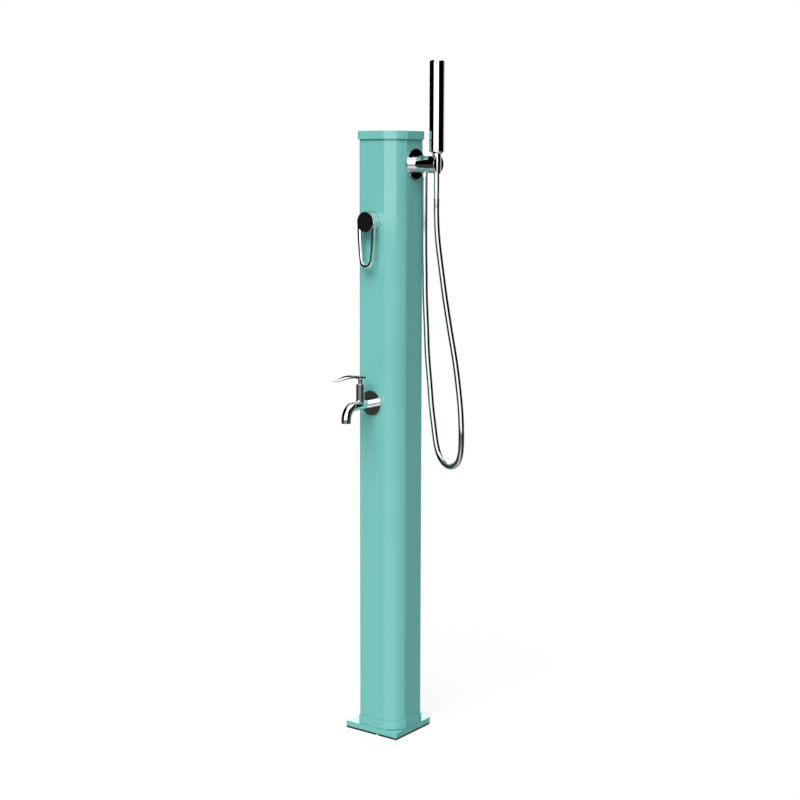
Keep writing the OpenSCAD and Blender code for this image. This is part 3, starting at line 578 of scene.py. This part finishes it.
def make_cap():
    top, low = POST_H, POST_H - 17.5
    outer = edge_rings(lambda i, z: column_ring(3.6 - i, z), low, top, 0.8, 1.2, 4)
    inner = [column_ring(0.4, low), column_ring(0.4, top - 4), column_ring(-2.9, top - 4),
             column_ring(-2.9, top - 14), column_ring(-5.4, top - 14), column_ring(-5.4, top - 4)]
    cap = loft("cap_lid", inner[::-1] + outer)
    finish_piece(cap, PAINT, "post", ["top_cap"])


def make_collar():
    rings = edge_rings(lambda i, z: column_ring(2.6 - i, z), BASE_TOP, 36, 1.8, 0.6, 4)
    rings += [column_ring(0.5, 36), column_ring(0.5, BASE_TOP)]
    collar = loft("foot_trim", rings, cyclic=True)
    finish_piece(collar, PAINT, "post", ["foot_collar"])


def make_socket():
    top = BASE_TOP + 90
    outer = edge_rings(lambda i, z: column_ring(-WALL - 0.5 - i, z), BASE_TOP, top, 0.2, 0.8, 3)
    inner = [column_ring(-WALL - 4.5, z) for z in (top, BASE_TOP)]
    socket = loft("foot_socket_sleeve", outer + inner, cyclic=True)
    boolean(socket, [peg(2.6, -12, 2, place, 32) for place in screw_places()])
    shade(socket, 40)
    finish_piece(socket, STEEL, "post", ["foot_socket"])


def drilled(obj, low, high):
    """Cuts the supply hole and the four anchor holes."""
    holes = [peg(22.5, low - 3, high + 3, upright(0, 8, 0), 96)]
    holes += [peg(5.5, low - 3, high + 3, upright(x, y, 0), 48) for x in (-26, 26) for y in (-24, 24)]
    boolean(obj, holes)
    shade(obj, 40)


def make_foot():
    pad_top = 4
    plate = loft("foot_slab", edge_rings(foot_ring, pad_top, BASE_TOP, 0.5, 0.8, 4))
    drilled(plate, pad_top, BASE_TOP)
    finish_piece(plate, PAINT, "post", ["foot_plate"])
    pad = loft("foot_pad", edge_rings(foot_ring, 0, pad_top, 0.4, 0.3, 3))
    drilled(pad, 0, pad_top)
    around = (-3, -55), (3, -55), (3, -37.6), (-3, -37.6)
    notch = loft("notch", [[Vector((x * MM, y * MM, z * MM)) for x, y in around] for z in (-2, 6)])
    boolean(pad, [notch])
    shade(pad, 40)
    finish_piece(pad, RUBBER, "post", ["floor_pad"])


def button_screw(name, place, d_head, h_head, key, shank_d, shank_l):
    """A domed screw head with a six-sided key hole, and its shank behind it."""
    head = lathe(name, [(0, -shank_l), (shank_d / 2, -shank_l, 0.4), (shank_d / 2, 0), (d_head / 2, 0, 0.2),
                        (d_head / 2, h_head * 0.35, 0.6), (d_head / 2 * 0.62, h_head * 0.92, 1.2),
                        (0, h_head)], place, 48)
    boolean(head, [peg(key / 2, h_head - 1.5, h_head + 1, place, 6)])
    shade(head, 30)
    return head


def make_screws():
    for side, place in zip(("left", "right"), screw_places()):
        screw = button_screw("socket_screw_" + side, place, 9.5, 2.6, 4.6, 5, 9)
        finish_piece(screw, STEEL, "post", ["socket_screws"])


make_column()
make_cap()
make_collar()
make_socket()
make_foot()
make_screws()


# ---------------------------------------------------------------- mixer

def tangent_loop(hub_r, tip_r, reach, n_hub=64, n_side=48, n_tip=40):
    """The outline of a hub circle and a tip circle joined by long arcs tangent to both, counter-clockwise from
    the hub's right. The hub is at the origin and the tip hangs down -y."""
    drop = reach - tip_r
    side_r = (drop * drop + hub_r * hub_r - tip_r * tip_r) / (2 * (hub_r - tip_r))
    lean = asin(drop / (side_r - tip_r))
    pts = [Vector((hub_r * cos(pi * k / n_hub), hub_r * sin(pi * k / n_hub))) for k in range(n_hub)]
    pts += [Vector((side_r - hub_r - side_r * cos(lean * k / n_side), -side_r * sin(lean * k / n_side)))
            for k in range(n_side)]
    a0, a1 = pi + lean, 2 * pi - lean
    pts += [Vector((tip_r * cos(a0 + (a1 - a0) * k / n_tip), -drop + tip_r * sin(a0 + (a1 - a0) * k / n_tip)))
            for k in range(n_tip)]
    pts += [Vector((hub_r - side_r + side_r * cos(lean * (1 - k / n_side)), -side_r * sin(lean * (1 - k / n_side))))
            for k in range(n_side)]
    return pts


def window(hub_r, tip_r, reach, strap, tip_strap, n=48):
    """The loop's gap: the inner loop beyond the hub's circle, counter-clockwise."""
    inner = tangent_loop(hub_r - strap, tip_r - strap, reach - tip_strap, 64, 96, 60)
    low = [p for p in inner if p.length > hub_r and p.y < 0]
    # from the left strap round the tip to the right strap, then back along the hub
    left = [p for p in low if p.x <= 0]
    right = [p for p in low if p.x > 0]
    path = left + right
    a, b = atan2(path[-1].y, path[-1].x), atan2(path[0].y, path[0].x)
    arc = [Vector((hub_r * cos(a + (b - a) * k / n), hub_r * sin(a + (b - a) * k / n))) for k in range(n + 1)]
    return path + arc


def plate_with_gap(name, outer, gap, z0, z1, edge, place):
    """A flat plate with rounded edges from filled 2D outlines (mm), with or without a gap."""
    curve = bpy.data.curves.new(name, "CURVE")
    curve.dimensions, curve.fill_mode = "2D", "BOTH"
    curve.extrude = (z1 - z0) / 2 * MM - edge * MM
    curve.bevel_depth, curve.bevel_resolution = edge * MM, 3
    curve.offset = -edge * MM
    for pts in (outer, gap):
        if not pts:
            continue
        spline = curve.splines.new("POLY")
        spline.points.add(len(pts) - 1)
        spline.use_cyclic_u = True
        for i, p in enumerate(pts):
            spline.points[i].co = (p.x * MM, p.y * MM, 0, 1)
    obj = bpy.data.objects.new(name, curve)
    scene.collection.objects.link(obj)
    bpy.context.view_layer.update()
    mesh = bpy.data.meshes.new_from_object(obj.evaluated_get(bpy.context.evaluated_depsgraph_get()))
    bpy.data.objects.remove(obj)
    made = bpy.data.objects.new(name, mesh)
    scene.collection.objects.link(made)
    mesh.transform(place @ Matrix.Translation((0, 0, (z0 + z1) / 2 * MM)))
    shade(made, 40)
    return made


def bevelled_loop(name, place):
    """The long open loop: a strap with a broad bevel round its window and a smaller one outside. Its upper
    part is sunk in the knob, and both bevels run out above it and at the tip."""
    outer = tangent_loop(21, 15.5, 94)
    inner = tangent_loop(14.5, 10.2, 88.2)
    n, back, front, relief = len(outer), 15, 22, 0.4
    rings = []
    for k, (o, i) in enumerate(zip(outer, inner)):
        along = (outer[(k + 1) % n] - outer[k - 1]).normalized()
        out = Vector((along.y, -along.x))
        # the strap stands a little proud of the knob beside and below it, and not above it
        proud = max(0, min(1, (8 - o.y) / 12))
        c_out, c_in = 0.3 + 1.1 * proud, 1.8 - 0.6 * max(0, min(1, (-75 - o.y) / 10))
        o = o + out * 1.1 * proud
        d = (i - o).normalized()
        section = [(o, front - c_out), (o, back + relief), (o + d * relief, back), (i - d * relief, back),
                   (i, back + relief), (i, front - c_in), (i - d * c_in, front), (o + d * c_out, front)]
        rings.append([place @ Vector((q.x * MM, q.y * MM, z * MM)) for q, z in section])
    return loft(name, rings, cyclic=True, smooth=30)


def make_mixer():
    place = out_of_front(MIXER_Z)
    sleeve = lathe("mixer_barrel", [(18.4, 0), (21, 0, 0.15), (21, 9.5, 0.12), (13, 9.5, 0.2), (13, 8.2, 0.2),
                                    (18.4, 8.2), (18.4, 0)], place, 160)
    finish_piece(sleeve, CHROME, "post", ["mixer_sleeve"])
    loop = bevelled_loop("mixer_loop", place)
    hub = lathe("mixer_knob", [(0, 9.9), (20.6, 9.9, 0.3), (20.6, 18), (21.1, 18), (21.1, 22.8, 0.12), (0, 22.8)],
                place, 160)
    boolean(hub, [peg(4.05, 9, 19, place, 48), peg(2.1, 0, 30, out_of_front(MIXER_Z, 12.45) @ Z_TO_FRONT, 32)])
    shade(hub, 30)
    finish_piece(hub, CHROME, "mixer_handle", ["mixer_handle"])
    finish_piece(loop, CHROME, "mixer_handle", ["mixer_handle"])


make_mixer()


# ---------------------------------------------------------------- tap

def rosette(name, r, bore, t, place, replaced):
    obj = lathe(name, [(bore / 2, 0), (r, 0, 0.2), (r, t, 0.15), (bore / 2, t, 0.15), (bore / 2, 0)], place, 192)
    finish_piece(obj, CHROME, "post", [replaced])


def rod_rings(points, radius, seg):
    """Rings for a rod along points (mm) that keep to the plane across x."""
    rings = []
    m = len(points)
    for i, p in enumerate(points):
        way = (points[min(i + 1, m - 1)] - points[max(i - 1, 0)]).normalized()
        right = Vector((1, 0, 0))
        up = way.cross(right).normalized()
        rings.append([(p + radius * (cos(2 * pi * k / seg) * right + sin(2 * pi * k / seg) * up)) * MM
                      for k in range(seg)])
    return rings


def make_tap():
    place = out_of_front(TAP_Z)
    rosette("tap_plate", 26, 20.4, 3.5, place, "tap_rosette")
    bend, out, drop, stem_out = 27, 87.3, 33, 39.5
    down = out_of_front(TAP_Z, out) @ Z_TO_FRONT
    up = out_of_front(TAP_Z, stem_out) @ Z_TO_BACK
    path = [Vector((0, 0, 0)), Vector((0, 0, 30)), Vector((0, 0, out - bend - 1))]
    path += [Vector((0, -bend + bend * cos(pi / 2 * k / 32), out - bend + bend * sin(pi / 2 * k / 32)))
             for k in range(33)]
    path += [Vector((0, -bend - 1, out)), Vector((0, -drop, out))]
    spout = loft("tap_casting", [[place @ v for v in ring] for ring in rod_rings(path, 10, 128)])
    riser = lathe("riser", [(0, 0), (8.9, 0), (8.9, 44, 0.4), (0, 44)], up, 128)
    tail = lathe("tail", [(0, -12.5), (8.3, -12.5, 0.5), (8.3, 2), (0, 2)], place, 64)
    boolean(spout, [riser, tail], "UNION")
    boolean(spout, [peg(8, drop - 7.8, drop + 2, down, 96), peg(7.2, 9, 46, up, 96)])
    softened(spout, 0.35, 38, 2)
    finish_piece(spout, CHROME, "post", ["tap_body"])
    ring = [(0, drop - 7.8), (7.8, drop - 7.8, 0.2), (7.8, drop - 0.8, 0.35), (6.4, drop - 0.8, 0.3),
            (6.1, drop - 2.3, 0.1), (0, drop - 2.3)]
    aerator = lathe("tap_jet_ring", ring, down, 96)
    jets = []
    for r, n in ((0, 1), (2.2, 6), (4.3, 12)):
        for k in range(n):
            t = 2 * pi * k / n
            jets.append(peg(0.62, drop - 4, drop + 1, down @ upright(r * cos(t), r * sin(t), 0), 16))
    boolean(aerator, jets)
    shade(aerator, 35)
    finish_piece(aerator, CHROME_SATIN, "post", ["tap_aerator"])
    nut = lathe("tap_valve_rim", [(0, 9.2), (7.1, 9.2), (7.1, 44.6, 0.3), (4.8, 44.6, 0.2), (4.8, 20), (0, 20)],
                up, 96)
    finish_piece(nut, CHROME_SATIN, "post", ["tap_headwork"])
    stem = lathe("tap_stem", [(0, 20.4), (4.7, 20.4, 0.3), (4.7, 46.5, 0.1), (4.45, 46.7, 0.1), (4.45, 47.3, 0.1),
                              (4.7, 47.5, 0.1), (4.7, 60.1, 0.2), (0, 60.1)], up, 96)
    finish_piece(stem, CHROME, "tap_lever", ["tap_spindle"])


def make_lever():
    """A loop of flat strap that arches up and gets thinner toward its tip, on a round hub with a coned underside."""
    hub_r, tip_r, reach, strap, thick, arch = 14, 8.4, 84, 3.2, 3.6, 4.4
    top = Vector((FRONT_X, FRONT_Y - 39.5, TAP_Z + 55.6))
    arch_r = (reach * reach / 4 + arch * arch) / (2 * arch)
    place = Matrix.Translation(top * MM)
    outer = tangent_loop(hub_r, tip_r, reach, 64, 60, 40)
    gap = window(hub_r, tip_r, reach, strap, strap)
    loop = plate_with_gap("tap_lever_loop", outer, gap, -thick / 2, thick / 2, 0.25, Matrix.Identity(4))
    # more rings along the strap, then every point is lifted onto the arch
    bm = bmesh.new()
    bm.from_mesh(loop.data)
    for k in range(1, 28):
        y = -reach * k / 28 * MM
        bmesh.ops.bisect_plane(bm, geom=bm.verts[:] + bm.edges[:] + bm.faces[:], plane_co=(0, y, 0),
                               plane_no=(0, 1, 0))
    mid, thin_from, thinner = 3 + arch - arch_r, 30, 0.5
    for v in bm.verts:
        y = v.co.y / MM
        t = max(min(y, 0), -reach)
        lift = mid + sqrt(max(arch_r ** 2 - (t + reach / 2) ** 2, 0))
        v.co.z = v.co.z * (1 - thinner * max(0, -t - thin_from) / (reach - thin_from)) + lift * MM
    bm.to_mesh(loop.data)
    bm.free()
    loop.data.transform(place)
    shade(loop, 40)
    hub = lathe("tap_lever_hub", [(0, 0), (7.5, 0, 0.4), (hub_r, 3.4, 0.3), (hub_r, 6, 0.3), (0, 6)], place, 128)
    boolean(hub, [peg(4.8, -1, 4.5, place, 64), peg(1.6, 0, 16, place @ upright(0, 0, 2.25) @ Z_TO_BACK, 32)])
    shade(hub, 30)
    finish_piece(loop, CHROME_PAINTED_SIDES, "tap_lever", ["tap_lever"])
    finish_piece(hub, CHROME, "tap_lever", ["tap_lever"])


make_tap()
make_lever()


# ---------------------------------------------------------------- holder, hose end and hand shower

def make_holder():
    place = out_of_side(HOLDER_Z)
    rosette("holder_plate", 31.5, 21.2, 4, place, "holder_rosette")
    arm = lathe("holder_barrel", [(0, 4), (18, 4, 0.3), (18, 60.2, 0.5), (17.2, 61, 0.3), (0, 61)], place, 192)
    # the cradle's bore is the hose cone's shape with a little room, run on past both ends of the arm
    cradle, grow = upright(CONE_X, SIDE_Y, HOLDER_Z - 19.5), 0.0341
    below = upright(NUT_X, SIDE_Y, HOLDER_Z)
    boolean(arm, [peg(10.6, 3, 16, place, 96),
                  lathe("bore", [(0, -2), (8.65 - grow, -2), (9.35 + grow, 43), (0, 43)], cradle, 128),
                  peg(5.1, -30, -11, below, 64), peg(4, -12, 0, below, 48)])
    softened(arm, 0.35, 38, 2)
    finish_piece(arm, CHROME, "post", ["holder_arm"])
    nut = lathe("hose_union_nut", [(0, 7), (4.9, 7, 0.3), (4.9, 0), (5.6, 0, 0.2), (6.4, -0.8, 0.2), (6.4, -5.6, 0.3),
                                   (6.1, -6.0, 0.1), (6.1, -6.6, 0.1), (6.4, -7, 0.2), (6.4, -9, 0.4), (0, -9)],
                upright(NUT_X, SIDE_Y, HOLDER_Z - 18), 96)
    finish_piece(nut, CHROME, "post", ["hose_nut"])
    return nut


def make_hose_end():
    base = upright(CONE_X, SIDE_Y, HOLDER_Z - 19.5)
    cone = lathe("hose_cone_nut", [(6.65, 41), (9.2, 41, 0.5), (8.5, 0, 0.5), (0, 0)], base, 128)
    bm = bmesh.new()
    bm.from_mesh(cone.data)
    bmesh.ops.holes_fill(bm, edges=[e for e in bm.edges if e.is_boundary])
    bm.to_mesh(cone.data)
    bm.free()
    boolean(cone, [peg(6.65, 27, 43, base, 96)])
    shade(cone, 35)
    finish_piece(cone, CHROME, "hose_end", ["hose_cone"])
    profile = [(0, 0), (5.85, 0, 0.5)]
    for i in (1, 2, 3):
        z = 4 * i
        profile += [(5.85, z, 0.15), (5.35, z, 0.1), (5.35, z + 1.2, 0.1), (5.85, z + 1.2, 0.15)]
    profile += [(5.85, 51.5, 0.3), (0, 51.5)]
    ferrule = lathe("hose_crimp_sleeve", profile, upright(CONE_X, SIDE_Y, HOLDER_Z - 71), 96)
    finish_piece(ferrule, CHROME, "hose_end", ["hose_ferrule"])
    return cone, ferrule


def stadium(w, l):
    """An outline w wide and l long with round ends."""
    half, n = (l - w) / 2, 24
    pts = [Vector((w / 2 * cos(pi * k / n), half + w / 2 * sin(pi * k / n))) for k in range(n + 1)]
    return pts + [Vector((-w / 2 * cos(pi * k / n), -half - w / 2 * sin(pi * k / n))) for k in range(n + 1)]


def make_handset():
    low, top = HOLDER_Z + 21.8, 187.5
    base = upright(CONE_X, SIDE_Y, low)
    spray = upright(CONE_X, SIDE_Y, low + top - 45) @ Z_TO_BACK
    tube = lathe("stick_body", [(13.7, 3.5), (15.7, 3.5, 0.15), (15.7, top, 3.0), (0, top)], base, 192, steps=10)
    inner = lathe("core", [(13.7, 3.5), (13.7, top - 3), (0, top - 3)], base, 96)
    bm = bmesh.new()
    bm.from_mesh(tube.data)
    bm.from_mesh(inner.data)
    bmesh.ops.remove_doubles(bm, verts=bm.verts, dist=1e-7)
    bm.to_mesh(tube.data)
    bm.free()
    bpy.data.objects.remove(inner)
    slot_cut = loft("window", [[spray @ Vector((p.x * MM, p.y * MM, z * MM)) for p in stadium(14.3, 62.3)]
                               for z in (6, 20)])
    boolean(tube, [slot_cut])
    shade(tube, 35)
    finish_piece(tube, CHROME, "hand_shower", ["handset_tube"])
    tail = lathe("stick_tail", [(0, -12), (6.6, -12, 0.4), (6.6, 0), (10.5, 0, 0.3), (15.7, 3.5, 0.15), (13.6, 3.5),
                                (13.6, 13.75, 0.5), (0, 13.75)], base, 128)
    finish_piece(tail, CHROME, "hand_shower", ["handset_tail"])
    plate = plate_with_gap("spray_face", stadium(14, 62), None, 11.2, 14.4, 0.35, spray)
    tip = [(0, 13.3), (1.15, 13.3), (1.1, 14.45, 0.1), (0.8, 15.5, 0.25), (0.35, 15.5), (0.3, 15.1), (0, 15.1)]
    nozzles = [lathe("nozzle", tip, spray @ upright(x * 2.8, (i - 5 + x / 4) * 4.8, 0), 20)
               for x in (-1, 1) for i in range(11)]
    bm = bmesh.new()
    for piece in nozzles:
        bm.from_mesh(piece.data)
        bpy.data.objects.remove(piece)
    mesh = bpy.data.meshes.new("spray_nozzles")
    bm.to_mesh(mesh)
    bm.free()
    tips = bpy.data.objects.new("spray_nozzles", mesh)
    scene.collection.objects.link(tips)
    shade(tips, 35)
    finish_piece(plate, CHROME_SATIN, "hand_shower", ["spray_plate"])
    finish_piece(tips, NOZZLE, "hand_shower", ["spray_plate"])


nut = make_holder()
cone, ferrule = make_hose_end()
make_handset()


# ---------------------------------------------------------------- floor, light and background

def azimuth(t, parts):
    """Degrees from -Y towards +X."""
    return calc(t, "MULTIPLY", calc(t, "ARCTAN2", parts.outputs["X"], calc(t, "MULTIPLY", parts.outputs["Y"], -1)),
                180 / pi)


def band(t, value, low, high, soft):
    """1 between low and high and 0 outside, with edges soft wide on either side."""
    a = ramp(t, value, low - soft, low + soft, 0, 1)
    b = ramp(t, value, high - soft, high + soft, 1, 0)
    return calc(t, "MULTIPLY", a, b)


def make_floor():
    half = 9
    verts = [(x, y, 0) for x in (-half, half) for y in (-half, half)]
    floor = new_object("floor", verts, [[0, 2, 3, 1]])
    m, t, b = material("floor_paper")
    grain = noise(t, 120, 3)
    t.links.new(tint(t, grain, (0.86, 0.86, 0.86), (0.9, 0.9, 0.9)), b.inputs["Base Color"])
    b.inputs["Roughness"].default_value = 0.9
    b.inputs["Specular IOR Level"].default_value = 0.1
    # Near the foot the paper shows its shadow; further out it is as white as the background. Reflections
    # look through it, to the studio's own grey below the horizon, and its bounced light is greyer.
    path = node(t, "ShaderNodeLightPath")
    seen = calc(t, "MAXIMUM", path.outputs["Is Camera Ray"], path.outputs["Is Transmission Ray"])
    away = node(t, "ShaderNodeVectorMath", operation="LENGTH")
    t.links.new(node(t, "ShaderNodeTexCoord").outputs["Object"], away.inputs[0])
    far = away.outputs["Value"]

    def glow(strength):
        n = node(t, "ShaderNodeEmission", Strength=strength)
        n.inputs["Color"].default_value = (1, 1, 1, 1)
        return n.outputs[0]

    def mixed(fac, first, second):
        n = node(t, "ShaderNodeMixShader")
        t.links.new(fac, n.inputs["Fac"])
        t.links.new(first, n.inputs[1])
        t.links.new(second, n.inputs[2])
        return n.outputs[0]

    dull = node(t, "ShaderNodeBsdfDiffuse", Color=(0.42, 0.42, 0.42, 1))
    lit = mixed(path.outputs["Is Diffuse Ray"], b.outputs[0], dull.outputs[0])
    white = mixed(calc(t, "MULTIPLY", seen, ramp(t, far, 0.5, 1.6, 0.85, 1.0)), lit, glow(1.0))
    done = mixed(path.outputs["Is Glossy Ray"], white, node(t, "ShaderNodeBsdfTransparent").outputs[0])
    t.links.new(done, t.nodes["Material Output"].inputs["Surface"])
    floor.data.materials.append(m)


def make_world():
    """White to the camera. In reflections, a tall white screen stands in front of the object between dark
    walls, with two more behind it, a pale ceiling and a floor that is grey further down."""
    world = bpy.data.worlds.new("studio")
    scene.world = world
    world.use_nodes = True
    t = world.node_tree
    t.nodes.clear()
    path = node(t, "ShaderNodeLightPath")
    way = node(t, "ShaderNodeTexCoord").outputs["Generated"]
    parts = node(t, "ShaderNodeSeparateXYZ")
    t.links.new(way, parts.inputs[0])
    az, up = azimuth(t, parts), parts.outputs["Z"]
    left, right = -15, 57
    high = calc(t, "MULTIPLY", band(t, az, left, right, 1.5), ramp(t, up, -0.05, -0.03, 0.0, 2.3))
    low = calc(t, "MULTIPLY", band(t, az, left, right, 5), ramp(t, up, -0.55, -0.15, 1.1, 0.32))
    below = calc(t, "ADD", ramp(t, up, -0.15, -0.04, 0.036, 0.0), ramp(t, up, -1.0, -0.6, 0.8, 0.0))
    dark = calc(t, "ADD", ramp(t, up, -0.04, 0.0, 0.014, 0.001), below)
    behind = calc(t, "MULTIPLY", band(t, az, -190, -130, 4), band(t, up, 0.1, 0.5, 0.03))
    behind = calc(t, "MULTIPLY", behind, ramp(t, up, 0.2, 0.28, 1.1, 3.8))
    back = calc(t, "MULTIPLY", band(t, calc(t, "ABSOLUTE", az, 0.0), 154, 200, 6), band(t, up, -0.4, 0.12, 0.08))
    slanted = calc(t, "ADD", up, calc(t, "MULTIPLY", parts.outputs["X"], 0.13))
    ceiling = calc(t, "MAXIMUM", ramp(t, slanted, 0.81, 0.87, 0, 2.0), calc(t, "MAXIMUM", behind, back))
    screen = calc(t, "MAXIMUM", calc(t, "MAXIMUM", high, low), dark)
    shown = calc(t, "MAXIMUM", screen, ceiling)
    glossy = node(t, "ShaderNodeBackground")
    t.links.new(shown, glossy.inputs["Strength"])
    soft = node(t, "ShaderNodeBackground")
    soft.inputs["Color"].default_value = (1, 1, 1, 1)
    soft.inputs["Strength"].default_value = 0.20
    white = node(t, "ShaderNodeBackground")
    white.inputs["Color"].default_value = (1, 1, 1, 1)
    white.inputs["Strength"].default_value = 1.0
    first = node(t, "ShaderNodeMixShader")
    t.links.new(path.outputs["Is Glossy Ray"], first.inputs["Fac"])
    t.links.new(soft.outputs[0], first.inputs[1])
    t.links.new(glossy.outputs[0], first.inputs[2])
    second = node(t, "ShaderNodeMixShader")
    seen = calc(t, "MAXIMUM", path.outputs["Is Camera Ray"], path.outputs["Is Transmission Ray"])
    t.links.new(seen, second.inputs["Fac"])
    t.links.new(first.outputs[0], second.inputs[1])
    t.links.new(white.outputs[0], second.inputs[2])
    out = node(t, "ShaderNodeOutputWorld")
    t.links.new(second.outputs[0], out.inputs["Surface"])


def sun(name, side, height, strength, spread):
    """A distant soft light from side degrees (from -Y towards +X) and height degrees up, spread degrees wide."""
    a, e = radians(side), radians(height)
    data = bpy.data.lights.new(name, "SUN")
    data.energy, data.angle = strength, radians(spread)
    obj = bpy.data.objects.new(name, data)
    scene.collection.objects.link(obj)
    obj.rotation_mode = "QUATERNION"
    obj.rotation_quaternion = Vector((-sin(a) * cos(e), cos(a) * cos(e), -sin(e))).to_track_quat("-Z", "Y")
    obj.visible_glossy = False


make_floor()
make_world()
sun("key", 20, 48, 3.35, 45)
sun("fill", 205, 30, 1.3, 60)
